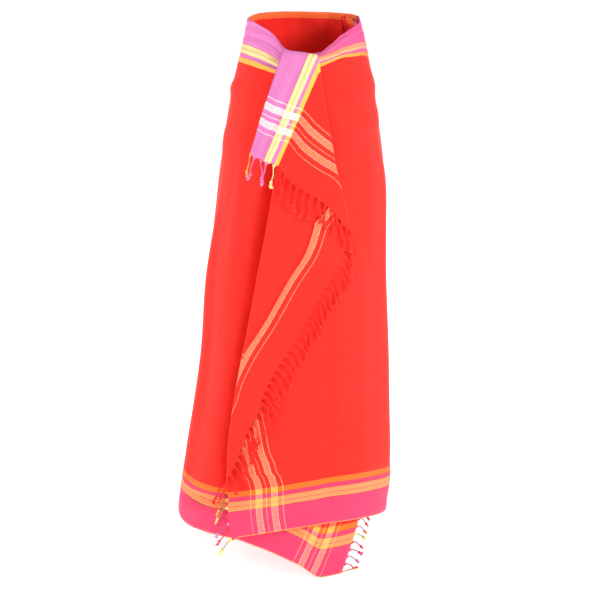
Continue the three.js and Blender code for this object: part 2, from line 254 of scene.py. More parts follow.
@dataclass(frozen=True)
class Relief:
    """Soft folds of the hanging cloth, as lift over the wall, so that layers move together.

    Attributes:
        hang: Height of the hanging folds, in millimetres.
        drag: Height of the drag lines below the knot.
        knot: How far right of the middle the knot is, and its height.
        roll: Height of the long fold that slants down from the knot to the left side.
        valley: Depth of the hollow that runs up beside the lapel's lower part.
        creases: A fold and a dent under the right of the waist, the buckle of the left hem and
            the hollow over it, and the flare of the right hem.
    """

    hang: float = 2.6
    drag: float = 3.0
    knot: tuple[float, float] = (10.0, 1065.0)
    roll: float = 4.2
    valley: float = 5.0
    creases: tuple[Crease, ...] = (
        Crease(5.4, -80, 1012, 0, 22, 24), Crease(-5.0, -27, 1004.1, 1.9, 10, 7),
        Crease(8.0, 56, 127.5, -0.5, 19, 15), Crease(-11.2, 56, 155.5, -0.5, 19, 9),
        Crease(5.0, -87, 172, 0, 13, 34),
    )

    def hanging(self, t: Grid, z: Grid) -> Grid:
        """The folds that hang all round.

        They are three sines of the turn, with crests that drift with the height. They fade
        towards the waist and the floor, and are deeper behind than in front.

        Args:
            t: Turns in radians.
            z: Heights in millimetres.

        Returns:
            The lift in millimetres.
        """
        sway = 0.35 * np.sin(z / 190.0) + 0.2 * np.sin(z / 83.0 + 1.0)
        folds = (np.sin(9 * t + sway) + 0.6 * np.sin(14 * t - 1.3 * sway + 1.1)
                 + 0.35 * np.sin(23 * t + 2 * sway + 0.4))
        free = ease(z, 20, 320) * (1 - 0.75 * ease(z, 700, 1030))
        behind = 0.8 * ease(-np.cos(t), -0.1, 0.6) - 0.45 * ease(np.cos(t), 0.3, 0.8)
        return self.hang * folds * free * (1 + behind)

    def dragged(self, t: Grid, z: Grid) -> Grid:
        """The drag lines that fan out below the knot: a sine of the bearing from it.

        Args:
            t: Turns in radians.
            z: Heights in millimetres.

        Returns:
            The lift in millimetres, 0 behind.
        """
        below = np.maximum(self.knot[1] - z, 1.0)
        bearing = np.arctan2(-150.0 * np.sin(t) - self.knot[0], below)
        reach = ease(below, 40, 170) * (1 - ease(below, 420, 760))
        return np.where(np.cos(t) > 0, self.drag * np.sin(15 * bearing + 0.6) * reach, 0.0)

    def lift(self, turn: Grid, z: Grid) -> Grid:
        """All the folds together, at places on the wall.

        The long fold is a bell about a line that falls by 1 mm a degree, and the valley a bell
        about an almost upright line. Each eases in and out at its ends.

        Args:
            turn: Turns in degrees.
            z: Heights in millimetres.

        Returns:
            The lift in millimetres.
        """
        t = np.radians(turn)
        wrapped = (turn + 180.0) % 360.0 - 180.0
        roll = bump(z, 1056 - (wrapped - 39), 11) * ease(wrapped, 26, 50)
        roll = roll * (1 - ease(wrapped, 100, 130))
        valley = bump(wrapped, -22 + 0.012 * (z - 300), 6.5) * ease(z, 60, 200)
        valley = valley * (1 - ease(z, 430, 640))
        return (self.hanging(t, z) + self.dragged(t, z) + self.roll * roll
                - self.valley * valley + sum(crease.at(wrapped, z) for crease in self.creases))


@dataclass(frozen=True)
class Steps:
    """How many steps the cloth's grid takes over each stretch of a row, and its rows.

    Attributes:
        ring: Steps round the wall, from the inner end to the front right.
        front: Steps from there to the lapel's fold.
        fold: Steps round either fold.
        lapel: Steps over the lapel.
        flap: Steps over the flap beyond the right fold.
        rows: Rows across the cloth.
        crowding: How close the rows stand, by their place across the cloth.
    """

    ring: int = 132
    front: int = 20
    fold: int = 8
    lapel: int = 44
    flap: int = 40
    rows: int = 160
    crowding: tuple[tuple[float, float], ...] = (
        (0, 1), (0.09, 1), (0.17, 2), (0.68, 1), (0.735, 2.6), (0.86, 1), (0.9, 2.4), (1, 2.4),
    )

    def across(self) -> Grid:
        """The rows' places, closer together where folds begin and in the bunched border.

        Their number rises with the running sum of the crowding.

        Returns:
            Places across the cloth, from 0 at the hem to 1.
        """
        at, density = np.array(self.crowding).T
        fine = np.linspace(0, 1, 4001)
        total = np.cumsum(np.interp(fine, at, density))
        total = (total - total[0]) / (total[-1] - total[0])
        return np.interp(np.linspace(0, 1, self.rows), total, fine)


@dataclass(frozen=True)
class Drape:
    """How the cloth runs round the wall and is folded at the front, in millimetres.

    Attributes:
        wall: The wall that it lies on.
        relief: The soft folds of all layers.
        steps: The grid's steps.
        width: The cloth's width.
        border_from: Place across the cloth where the bunched top border begins.
        border_turned: Width of the border that is turned down outside the back.
        front_turn: Turn at the front right where the plain round ends.
        recess_hem: How far inside the wall the inner layer lies at the hem.
        recess_waist: The same at the waist.
        lapel_lift: Lift of the lapel over the layer below it.
        flap_lift: Lift of the flap that the right fold turns over.
        knot_behind: Lift of the border where it passes behind the knot.
        knot_front: Lift of the border in front of the knot.
        turned_lift: How far the turned-down border stands off the back.
        turned_flare: How unevenly its free edge does, as a share of that.
        flute: Depth of the flutes at the back hem.
        swell: How far the front hem rises between the plain round and the lapel's fold.
        sag: How far the border sags there at the top.
        hollow_depth: Depth of the hollow beside the lapel's fold.
        pleat_ridge: Distance of the pleat's ridge from the outer end.
        pleat_depth: How much cloth lies hidden under the ridge.
        pleat_lift: How far the ridge stands up.
        pleat_under: How far the cloth rises where it turns back under the ridge.
        inner_hem: Turn of the inner end at the hem.
        inner_waist: Turn of the inner end at the waist.
        left_fold: The outermost line of the lapel's fold in the front view.
        right_fold: The same of the right fold.
        outer_end: The outer end in the front view, with how far it curls up.
    """

    wall: Wall = field(default_factory=Wall)
    relief: Relief = field(default_factory=Relief)
    steps: Steps = field(default_factory=Steps)
    width: float = 1050.0
    border_from: float = 0.905
    border_turned: float = 88.0
    front_turn: float = 330.0
    recess_hem: float = 20.0
    recess_waist: float = 8.0
    lapel_lift: float = 6.0
    flap_lift: float = 13.0
    knot_behind: float = 6.0
    knot_front: float = 17.0
    turned_lift: float = 3.6
    turned_flare: float = 0.45
    flute: float = 3.0
    swell: float = 8.0
    sag: float = 15.0
    hollow_depth: float = 28.0
    pleat_ridge: float = 68.0
    pleat_depth: float = 31.0
    pleat_lift: float = 3.4
    pleat_under: float = 1.8
    inner_hem: float = -38.0
    inner_waist: float = -130.0
    left_fold: SmoothTable = SmoothTable(
        ("across", "x", "z", "folded"),
        (
            (0, -121, 98, 0), (0.06, -129, 157, 0), (0.095, -129, 192, 0),
            (0.11, -139, 206, 0.3), (0.125, -147, 221, 0.65), (0.16, -148, 254, 1),
            (0.22, -143, 314, 1), (0.35, -123, 441, 1), (0.45, -104, 540, 1),
            (0.55, -86, 640, 1), (0.64, -67, 735, 1), (0.69, -57, 790, 1), (0.76, -44, 868, 1),
            (0.8, -33, 912, 1), (0.84, -20, 960, 1), (0.87, -8, 995, 1), (0.89, 5, 1025, 1),
            (0.905, 24, 1052, 1), (0.953, -2, 1066, 1), (1, -28, 1078, 1),
        ),
    )
    right_fold: SmoothTable = SmoothTable(
        ("across", "x", "z", "folded"),
        (
            (0.69, 82, 724, 0), (0.705, 91, 742, 0.6), (0.72, 90, 764, 1), (0.76, 78, 822, 1),
            (0.8, 69, 860, 1), (0.84, 61, 910, 1), (0.87, 53, 952, 1), (0.89, 45, 1002, 1),
            (0.905, 38, 1050, 1), (0.925, 33, 1080, 1), (0.945, 17, 1084, 1),
            (0.965, 0, 1087, 1), (1, -31, 1090, 1),
        ),
    )
    outer_end: SmoothTable = SmoothTable(
        ("across", "x", "z", "curl"),
        (
            (0, -140, 87, 0), (0.03, -145, 118, 0), (0.06, -148, 152, 0), (0.095, -148, 188, 0),
            (0.11, -150, 204, 4.8), (0.125, -145, 219, 7), (0.16, -133, 246, 0),
            (0.222, -110, 310, 0), (0.289, -81, 373, 0), (0.33, -69, 411, 0),
            (0.377, -50, 450, 0), (0.471, -2, 530, 0), (0.573, 44, 616, 0),
            (0.638, 76, 670, 0), (0.69, 90, 718, 0), (0.705, 93, 736, 6), (0.72, 83, 744, 0),
            (0.745, 70, 765, 0), (0.79, 40, 798, 0), (0.842, 0, 824, 0), (0.882, -28, 847, 0),
            (0.905, -40, 867, 0), (0.95, -68, 876, 0), (1, -95, 887, 0),
        ),
    )

    def border_share(self, across: Grid) -> Grid:
        """How far up the top border each row is, 0 at its edge and 1 at the selvedge."""
        return (across - self.border_from) / (1 - self.border_from)

    def border_wave(self, across: Grid, waves: float, phase: Grid | float = 0.0) -> Grid:
        """Lengthwise folds of the bunched top border, round on top and sharp in the valleys.

        They are the size of a sine across the border, easing in at the border's edge.

        Args:
            across: The rows.
            waves: How many folds there are.
            phase: Where the sine begins, in radians.

        Returns:
            The folds, from -1 in a valley to 1 on a crest.
        """
        w = np.maximum(0.0, self.border_share(across))
        return (2 * np.abs(np.sin(np.pi * waves * w + phase)) - 1) * ease(w, 0.0, 0.12)

    def turned_down(self, turn: Grid) -> Grid:
        """How much of the top border is turned down outside the back.

        It eases from nothing at the sides to the whole border behind, so that the waist's rim
        there is the border's inner stripe.

        Args:
            turn: Turns in degrees.

        Returns:
            Millimetres of cloth.
        """
        behind = ease(turn, 97, 109) * (1 - ease(turn, 248, 262))
        within = 1 - ease(turn, -112, -96)
        return self.border_turned * np.maximum(behind, within)

    def ring(self, across: Grid) -> Place:
        """The plain round of each row, from the inner end to the front right.

        The height runs in a straight line from the hem to the border's edge, and on to the
        waist. Where the border is turned down outside, it falls away from the fold line as a
        hyperbola: the root of the distance squared plus the fold's radius squared. The lift is
        the inner layer's recess, easing out at the left, with soft flutes at the back hem, the
        border's bunching, the turned-down border's own lift, and the hollow taken off.

        Args:
            across: The rows, as a column.

        Returns:
            Turns, heights and lifts, one row each.
        """
        wall = self.wall
        leaned = 1.5 * across - 0.5 * across**2
        start = mix(self.inner_hem, self.inner_waist, leaned)
        turn = mix(start, self.front_turn, np.linspace(0, 1, self.steps.ring + 1)[None, :])
        hem, top = wall.hem.at("z", turn), wall.waist.at("z", turn)
        border, fold_radius = self.width * (1 - self.border_from), 2.0
        down = self.turned_down(turn)
        share = down / self.border_turned
        pitch = mix((top - wall.border_edge.at("z", turn)) / border, 1.12, share)
        off = self.width * (1 - across)
        curved = np.hypot(off - down, fold_radius) - fold_radius
        from_top = mix(np.abs(off - down), curved, np.clip(down / 10, 0, 1)) * pitch
        edge = top - (border - down) * pitch
        z = np.where(across < self.border_from, mix(hem, edge, across / self.border_from),
                     top - from_top)
        outside = self.turned_lift * ease(down - off, -2.5, 2.5) * ease(down, 0, 60)
        flare = ease(down - off, 20, self.border_turned)
        outside = outside * (1 + self.turned_flare * np.sin(turn / 5.3) * flare)
        recess = -mix(self.recess_hem, self.recess_waist, across) * (1 - ease(turn, 45, 95))
        f = np.clip((turn - 110) / 145, 0, 1)
        flute = self.flute * np.sin(np.pi * f) * np.sin(7 * np.pi * f) * (1 - across) ** 2
        bunched = self.bunching(across, turn) * (1 - 0.8 * share)
        return turn, z, recess + flute + bunched + outside - self.hollow(turn, z)

    def bunching(self, across: Grid, turn: Grid) -> Grid:
        """Folds of the bunched border: two wide ones at the right and four that drift round.

        The four are deeper at the right and at the left of the knot than behind.

        Args:
            across: The rows, as a column.
            turn: Turns in degrees.

        Returns:
            The lift in millimetres.
        """
        tight = ease(turn, 265, 320) + 0.9 * bump(turn, 30, 45)
        wide = 2.6 * self.border_wave(across, 2) * ease(turn, 285, 335)
        drifting = self.border_wave(across, 4.0, 0.5 + turn / 90.0) * (0.7 + 1.5 * tight)
        return wide + drifting * (0.9 + 0.3 * np.sin(turn / 17.0))

    def hollow(self, turn: Grid, z: Grid) -> Grid:
        """Depth of the hollow that the inner layer makes beside the lapel's fold.

        It is a bell of the turn, a few degrees left of the fold at each height, and fades out
        at the hem and below the waist.

        Args:
            turn: Turns in degrees.
            z: Heights in millimetres.

        Returns:
            The depth in millimetres.
        """
        between_hem_and_knot = np.array(self.left_fold.rows)[4:-3]
        _, x, height, _ = between_hem_and_knot.T
        at = self.wall.turn_at(np.interp(z, height, x), z)
        reach = ease(z, 90, 210) * (1 - ease(z, 840, 930))
        return self.hollow_depth * reach * bump(turn, at + 1.5, 5.5)

    def fold(self, place: tuple[Grid, Grid], out: Grid, radius: Grid, folded: Grid, flat: float,
             start: Grid, rise: Grid) -> tuple[Grid, Grid, Grid]:
        """The columns round a fold, in the front view.

        The section is a half circle seen from above: the way back from the outermost point is
        radius times (sine of the angle minus the folded share), and the lift rises by half the
        rise times (one minus its cosine). One that only begins to fold turns by less.

        Args:
            place: The fold's x and z in each row.
            out: The unit direction that it bulges, for each row.
            radius: Its radius.
            folded: 0 to 1, 1 for folded right back.
            flat: The length of one that isn't folded.
            start: The lift before the fold.
            rise: The lift gained.

        Returns:
            x, z and lift, one row each.
        """
        k = np.linspace(0, 1, self.steps.fold + 1)[None, :]
        angle = np.pi * folded * k
        back = radius * (np.sin(angle) - folded) + flat * k * (1 - folded)
        return (place[0] + out[..., 0] * back, place[1] + out[..., 1] * back,
                start + rise * (1 - np.cos(angle)) / 2)

    def pleat(self, span: Grid, past: Grid) -> tuple[Grid, Grid]:
        """The columns over the lapel, with the soft pleat that hides its inner stripes.

        Without the pleat the columns lie at even steps. With it they run on under the striped
        part by the pleat's depth, come back to its ridge and go on over it. Its depth grows
        from nothing where the ridge leaves the lapel's fold, and sinks to nothing where it
        reaches the lapel's far side. There the columns ease over to the even steps.

        Args:
            span: The lapel's length in each row.
            past: The cloth between the lapel's far side and the outer end.

        Returns:
            Distances along the lapel as shares of its length, and the lift gained.
        """
        s = self.steps
        outside = self.pleat_ridge - past
        to_ridge = np.clip(span - outside, 0, span)
        share = ease(to_ridge, 0, 9) * ease(outside, 2, 7)
        amount = ease(span - outside, -30, 4) * ease(outside, -12, 4)
        depth = share * np.clip(outside - 2, 0, self.pleat_depth)
        k = np.arange(1, s.lapel)[None, :]
        # The columns where it ends to run under, to turn, to run back and to turn again.
        under, turn_one, back, turn_two = 16, 20, 26, 30
        reach = 1.4 * np.sin(np.pi * np.clip((k - under) / (turn_one - under), 0, 1))
        ridge = 1.6 * np.sin(np.pi * np.clip((k - back) / (turn_two - back), 0, 1))
        beyond = np.clip((k - turn_two) / (s.lapel - turn_two), 0, 1)
        at = ((to_ridge + depth) * np.clip(k / under, 0, 1)
              - depth * np.clip((k - turn_one) / (back - turn_one), 0, 1)
              + (span - to_ridge) * beyond + (reach - ridge) * share)
        settled = ease(beyond, 0, 1)
        lift = (self.pleat_under * (ease(k, under, turn_one) - settled)
                + self.pleat_lift * ease(k, back, turn_two) * (1 - 0.8 * settled))
        even = span * k / s.lapel
        return mix(even, at, amount) / np.maximum(span, 1e-6), lift * share

    def front(self, across: Grid) -> tuple[Grid, Grid, Grid]:
        """The left fold, the lapel, the right fold and the flap of each row.

        Each fold bulges away from the two stretches that it joins, and the knot's border is
        lifted in front of what it passes over.

        Args:
            across: The rows, as a column.

        Returns:
            x, z and lift in the front view, one row each.
        """
        left = (self.left_fold.at("x", across), self.left_fold.at("z", across))
        end = (self.outer_end.at("x", across), self.outer_end.at("z", across))
        single = across <= self.right_fold.rows[0][0]
        right = tuple(np.where(single, e, self.right_fold.at(c, across))
                      for c, e in zip(("x", "z"), end))
        left_folded = self.left_fold.at("folded", across)
        right_folded = self.right_fold.at("folded", across)
        into = unit(np.stack([np.full_like(across, -0.97),
                              np.where(across > self.border_from, -0.3, -0.12)], -1))
        lapel = unit(np.stack([right[0] - left[0], right[1] - left[1]], -1))
        flap = unit(np.stack([end[0] - right[0], end[1] - right[1]], -1))
        knot = ease(across, 0.87, 0.93)
        lapel_lift = mix(self.lapel_lift, self.knot_behind, knot)
        rise = mix(self.flap_lift, self.knot_front, knot) - lapel_lift
        start = 1.2 * self.border_wave(across, 2)
        ax, az, al = self.fold(left, unit(into - lapel * left_folded[..., None] ** 2),
                               self.lapel_lift / 2, left_folded, 3.0, start, lapel_lift)
        bx, bz, bl = self.fold(right, unit(lapel - flap * right_folded[..., None] ** 2),
                               rise / 2, right_folded, 2.0, al[:, -1:], rise)
        curl = self.outer_end.at("curl", across)
        tip = mix(bl[:, -1:], self.flap_lift, knot) + curl + 3.0 * self.border_wave(across, 2)
        bend = np.pi * rise / 2 * right_folded
        double = self.with_flap((ax, az, al), (bx, bz, bl), (*end, tip), bend)
        plain = self.without_flap((ax, az, al), (*end, al[:, -1:] + curl))
        return tuple(np.where(single, p, d) for p, d in zip(plain, double))

    def with_flap(self, left: Place, right: Place, tip: Place, bend: Grid) -> list[Grid]:
        """Rows that turn over the right fold, straight between the folds and to the end.

        Args:
            left: Columns round the lapel's fold: x, z and lift in the front view.
            right: Columns round the right fold.
            tip: The outer end.
            bend: Length of cloth round the right fold.

        Returns:
            x, z and lift, one row each.
        """
        f = np.linspace(0, 1, self.steps.flap + 1)[None, 1:]
        span = np.hypot(right[0][:, :1] - left[0][:, -1:], right[1][:, :1] - left[1][:, -1:])
        past = np.hypot(tip[0] - right[0][:, -1:], tip[1] - right[1][:, -1:]) + bend
        over, raised = self.pleat(span, past)
        return [np.concatenate([a, mix(a[:, -1:], b[:, :1], over) + rise, b,
                                mix(b[:, -1:], e, f)], axis=1)
                for a, b, e, rise in zip(left, right, tip, (0, 0, raised))]

    def without_flap(self, left: Place, tip: Place) -> list[Grid]:
        """Rows below the right fold, which run straight to the outer end.

        The pleat lies on all but the last 12 mm, where its lift sinks to nothing.

        Args:
            left: Columns round the lapel's fold: x, z and lift in the front view.
            tip: The outer end.

        Returns:
            x, z and lift, one row each.
        """
        span = np.hypot(tip[0] - left[0][:, -1:], tip[1] - left[1][:, -1:])
        share = np.maximum(0.4, 1 - 12 / np.maximum(span, 1e-6))
        over, raised = self.pleat(span * share, span * (1 - share))
        last = np.linspace(0, 1, self.steps.fold + self.steps.flap + 1)[None, :]
        over = np.concatenate([over * share, mix(share, 1, last)], axis=1)
        raised = np.concatenate([raised, raised[:, -1:] * (1 - last)], axis=1)
        return [np.concatenate([a, mix(a[:, -1:], e, over) + rise], axis=1)
                for a, e, rise in zip(left, tip, (0, 0, raised))]

    def tail_pleats(self, z: Grid, across: Grid) -> Grid:
        """Lift of the lengthwise pleats of the tail, which spread out below the knot.

        They are sines across it whose valleys are sharp and drift with the height.

        Args:
            z: Heights in millimetres.
            across: The rows.

        Returns:
            The lift in millimetres.
        """
        w = self.border_share(across)
        below_knot = mix(1.6, 3.2, 1 - ease(z, 1030, 1080))
        depth = ease(w, 0.02, 0.1) * mix(1.5, below_knot, ease(z, 840, 980))
        wave = np.abs(np.sin(np.pi * 3.0 * w + z / 260.0 + 0.6))
        ripple = np.abs(np.sin(np.pi * 6.5 * w - z / 150.0))
        return depth * (0.7 * wave + 0.3 * ripple - 0.6)

    def rows(self, across: Grid) -> Place:
        """All places of the rows, from the inner end to the outer end.

        Between the plain round and the lapel's fold a row runs straight, but for a swell at the
        hem, half a sine, and a sag of the border under the knot, a bell.

        Args:
            across: The rows, as a column.

        Returns:
            Turns, heights and lifts, one row each.
        """
        turn, z, lift = self.ring(across)
        x, fz, fl = self.front(across)
        ft = 360 + self.wall.turn_at(x, fz)
        f = np.linspace(0, 1, self.steps.front + 1)[None, 1:-1]
        swell = self.swell * np.sin(np.pi * f) * (1 - across) ** 2
        sag = self.sag * bump(f, 0.42, 0.27) * ease(across, 0.94, 1)
        middle = [mix(a[:, -1:], b[:, :1], f) for a, b in ((turn, ft), (z, fz), (lift, fl))]
        middle[1] = middle[1] + swell - sag
        fl = fl + self.tail_pleats(fz, across)
        joined = [np.concatenate(parts, axis=1)
                  for parts in zip((turn, z, lift), middle, (ft, fz, fl))]
        joined[2] = joined[2] + self.relief.lift(joined[0], joined[1])
        return joined[0], joined[1], joined[2]


@dataclass(frozen=True)
class Cloth:
    """The striped cotton sheet.

    Attributes:
        drape: How it lies.
        length: Its woven length, in metres.
        width: Its woven width, in metres.
        thickness: Its thickness, in metres.
        clearance: Lowest height of its middle surface over the floor, in metres.
    """

    drape: Drape = field(default_factory=Drape)
    length: float = 1.65
    width: float = 1.05
    thickness: float = 0.0009
    clearance: float = 0.0006

    def weave_place(self, points: Grid, across: Grid) -> Grid:
        """Where each point lies on the flat cloth, in metres.

        Along the cloth it is the length along its row from the nearer end, so that the stripes
        of both ends keep their distance; the middle takes up what a row is short of.

        Args:
            points: The sheet's points.
            across: The rows.

        Returns:
            Distance from the inner end, and distance from the hem, as a last axis of two.
        """
        step = np.linalg.norm(np.diff(points, axis=1), axis=-1)
        run = np.concatenate([np.zeros((len(points), 1)), np.cumsum(step, axis=1)], axis=1)
        total = run[:, -1:]
        f = run / total
        along = run + (self.length - total) * ease(f, 0.25, 0.6)
        return np.stack([along, np.broadcast_to(across * self.width, along.shape)], -1)

    def build(self, material: bpy.types.Material) -> bpy.types.Object:
        """Makes the sheet: a grid of points with its woven place as UV map, given thickness.

        Args:
            material: The cloth's material.

        Returns:
            The finished object.
        """
        across = self.drape.steps.across()[:, None]
        turn, z, lift = self.drape.rows(across)
        points = self.drape.wall.point(turn, z, lift)
        points[..., 2] = np.maximum(points[..., 2], self.clearance)
        obj = grid_object("kikoy_cloth", points, self.weave_place(points, across))
        obj.data.materials.append(material)
        solid = obj.modifiers.new("thickness", "SOLIDIFY")
        solid.thickness = self.thickness
        solid.offset = 0.0
        return obj


def grid_object(name: str, points: Grid, uv: Grid) -> bpy.types.Object:
    """Makes a smooth mesh object from a grid of points.

    The faces are all the quads between neighbouring rows and columns. They point off the wall
    where the turn rises with the columns and the height with the rows.

    Args:
        name: The object's name.
        points: Points, rows by columns by three, in metres.
        uv: UV places, rows by columns by two.

    Returns:
        The new object, linked to the scene.
    """
    rows, columns = points.shape[:2]
    number = np.arange(rows * columns).reshape(rows, columns)
    quads = np.stack([number[1:, :-1], number[1:, 1:], number[:-1, 1:], number[:-1, :-1]], -1)
    return mesh_object(name, points.reshape(-1, 3), quads.reshape(-1, 4), uv.reshape(-1, 2))


def mesh_object(name: str, points: Grid, quads: Grid, uv: Grid) -> bpy.types.Object:
    """Puts arrays of points, quads and UV places into a new smooth mesh object.

    Args:
        name: The object's name.
        points: Points, by three.
        quads: Point numbers, by four.
        uv: UV places of the points, by two.

    Returns:
        The new object, linked to the scene.
    """
    mesh = bpy.data.meshes.new(name)
    mesh.vertices.add(len(points))
    mesh.vertices.foreach_set("co", points.astype(np.float32).ravel())
    mesh.loops.add(quads.size)
    mesh.loops.foreach_set("vertex_index", quads.astype(np.int32).ravel())
    mesh.polygons.add(len(quads))
    mesh.polygons.foreach_set("loop_start", np.arange(0, quads.size, 4, dtype=np.int32))
    mesh.polygons.foreach_set("use_smooth", np.ones(len(quads), dtype=bool))
    layer = mesh.uv_layers.new(name="weave")
    layer.data.foreach_set("uv", uv[quads.ravel()].astype(np.float32).ravel())
    mesh.update(calc_edges=True)
    mesh.validate()
    obj = bpy.data.objects.new(name, mesh)
    bpy.context.scene.collection.objects.link(obj)
    return obj


class End(Enum):
    """The two fringed ends of the cloth."""

    OUTER = "outer"
    INNER = "inner"


@dataclass(frozen=True)
class Fringe:
    """One end's knotted tassels: twisted cords that each end in a knot and a tuft.

    Attributes:
        drape: How the cloth lies.
        end: Which end it is.
        hang: How the tassels slant and bend, by their place across the cloth.
        dyes: Their colours, by their place across the cloth.
        seed: Start of the small differences between tassels.
        pitch: Distance between tassels, in millimetres.
        margin: How far the first and last stand in from the selvedges.
        cord_length: Length of the twisted cord.
        knot_length: Length of the knot.
        tuft_length: Length of the tuft.
        gathered: Half width and half thickness of the yarns where they leave the cloth.
        cord_half: Half the cord's thickness.
        knot_swell: How much the knot adds to both.
        tuft_swell: How much the tuft adds to both.
        lay: How far along the cord its plies take to turn by one radian.
        scatter: How much the tassels' slants differ.
        wiggle: How far a tassel sways off its line, as a slope.
        ply_depth: How deep the grooves between the plies are, as a share of the size.
        lump_depth: The same of the lumps on the knot.
        ragged: How uneven the tuft's outline is, as a share of the size.
        uneven: How much the tuft's yarns differ in length.
        floor_gap: Lowest height of a tassel's middle line.
        clearance: Lowest height of its surface.
        girth: The way round a cord on its UV map, in metres.
        sides: Corners of its section.
        rings: Sections along it.
    """

    drape: Drape
    end: End
    hang: SmoothTable
    dyes: tuple[tuple[float, Dye], ...]
    seed: int
    pitch: float = 16.5
    margin: float = 3.0
    cord_length: float = 33.0
    knot_length: float = 6.0
    tuft_length: float = 8.0
    gathered: tuple[float, float] = (4.2, 0.5)
    cord_half: float = 1.15
    knot_swell: tuple[float, float] = (2.5, 1.9)
    tuft_swell: tuple[float, float] = (2.3, 1.2)
    lay: float = 1.9
    scatter: float = 0.13
    wiggle: float = 0.17
    ply_depth: float = 0.26
    lump_depth: float = 0.16
    ragged: float = 0.45
    uneven: float = 1.8
    floor_gap: float = 3.4
    clearance: float = 0.3
    girth: float = 0.008
    sides: int = 8
    rings: int = 44

    def roots(self) -> tuple[Grid, Grid, Grid, Grid]:
        """The tassels' roots on the end of the cloth, at equal steps along it.

        Returns:
            Root places and outward directions on the wall's chart (along the oval, up, off
            it), each tassels by three, its rows, and the end's own direction there.
        """
        fine = np.linspace(0, 1, 900)[:, None]
        turn, z, lift = self.drape.rows(fine)
        here, inner = (-1, -3) if self.end is End.OUTER else (0, 1)
        place = np.stack([turn[:, here], z[:, here], lift[:, here]], -1)
        inward = np.stack([turn[:, inner], z[:, inner], lift[:, inner]], -1)
        scale = np.ones_like(place)
        scale[:, 0] = self.drape.wall.mm_per_degree(place[:, 0], place[:, 1])
        out = unit((place - inward) * scale)
        points = self.drape.wall.point(place[:, 0], place[:, 1], place[:, 2]) / MM
        run = np.concatenate([[0], np.cumsum(np.linalg.norm(np.diff(points, axis=0), axis=1))])
        reach = run[-1] - 2 * self.margin
        count = int(round(reach / self.pitch))
        at = self.margin + reach * np.arange(count + 1) / count
        i = np.clip(np.searchsorted(run, at), 1, len(run) - 2)
        along = unit((place[i + 1] - place[i - 1]) * scale[i])
        return place[i], out[i], fine[i, 0], along

    def paths(self) -> tuple[Grid, Grid, Grid, Grid]:
        """The tassels' middle lines.

        Each leaves the cloth along its outward direction and turns down over its bend. The way
        is summed up in small steps on the wall's chart; where it would pass the floor, the
        rest of its length lies level on it.

        Returns:
            Points in millimetres, tassels by stations by three, distances along them, the
            rows of the tassels, and the cloth edge's direction in space.
        """
        place, out, across, along = self.roots()
        count, wall = len(place), self.drape.wall
        rng = np.random.default_rng(self.seed)
        total = self.cord_length + self.knot_length + self.tuft_length
        far = np.linspace(0, total, 24)
        step = np.diff(far)[None, :]
        middle = ((far[1:] + far[:-1]) / 2)[None, :]
        down = ease(middle / self.hang.at("bend", across)[:, None], 0, 1)
        scatter = self.scatter * rng.normal(size=(count, 1))
        side = self.hang.at("side", across)[:, None] + scatter
        wave = 4.5 + rng.random((count, 1)) * 3
        phase = 6.3 * rng.random((count, 1))
        wiggle = self.wiggle * np.sin(middle / wave + phase) * ease(middle, 3, 14)
        way = np.stack([mix(out[:, :1], side, down) + wiggle, mix(out[:, 1:2], -1.0, down),
                        mix(out[:, 2:], 0.03, down) + 0.3 * wiggle], -1)
        way = unit(way) * step[..., None]
        start = np.zeros((count, 1))
        z = np.concatenate([place[:, 1:2], place[:, 1:2] + np.cumsum(way[..., 1], axis=1)], 1)
        z = np.maximum(z, self.floor_gap)
        drop = np.diff(z, axis=1)
        level = np.sqrt(np.maximum(step**2 - drop**2 - way[..., 2] ** 2, 0))
        level = level * np.where(way[..., 0] < 0, -1.0, 1.0)
        degree = wall.mm_per_degree(place[:, :1], place[:, 1:2])
        turn = place[:, :1] + np.concatenate([start, np.cumsum(level, 1)], 1) / degree
        lift = place[:, 2:] + np.concatenate([start, np.cumsum(way[..., 2], 1)], 1)
        edge = wall.point(place[:, 0] + along[:, 0] / degree[:, 0], place[:, 1] + along[:, 1],
                          place[:, 2] + along[:, 2])
        edge = unit(edge - wall.point(place[:, 0], place[:, 1], place[:, 2]))
        return wall.point(turn, z, lift) / MM, far, across, edge

    def section_sizes(self, far: Grid) -> tuple[Grid, Grid]:
        """Half width and half thickness of a tassel along its length.

        The gathered yarns start wide and flat, close into a cord by 8 mm, swell into the knot
        and open into the tuft: eased steps and one bell.

        Args:
            far: Distances along the tassel.

        Returns:
            Half width and half thickness in millimetres.
        """
        closed = ease(far, 0, 8)
        in_knot = bump(far, self.cord_length + self.knot_length / 2, 2.7)
        in_tuft = ease(far, self.cord_length + self.knot_length - 1, far[-1] - 2)
        width, thick = (mix(start, self.cord_half, closed) + knot * in_knot + tuft * in_tuft
                        for start, knot, tuft in zip(self.gathered, self.knot_swell,
                                                     self.tuft_swell))
        return width, thick

    def in_cord(self, at: Grid) -> Grid:
        """How much each distance along a tassel belongs to its cord, easing at both ends."""
        return ease(at, 5, 10) * (1 - ease(at, self.cord_length, self.cord_length + 2))

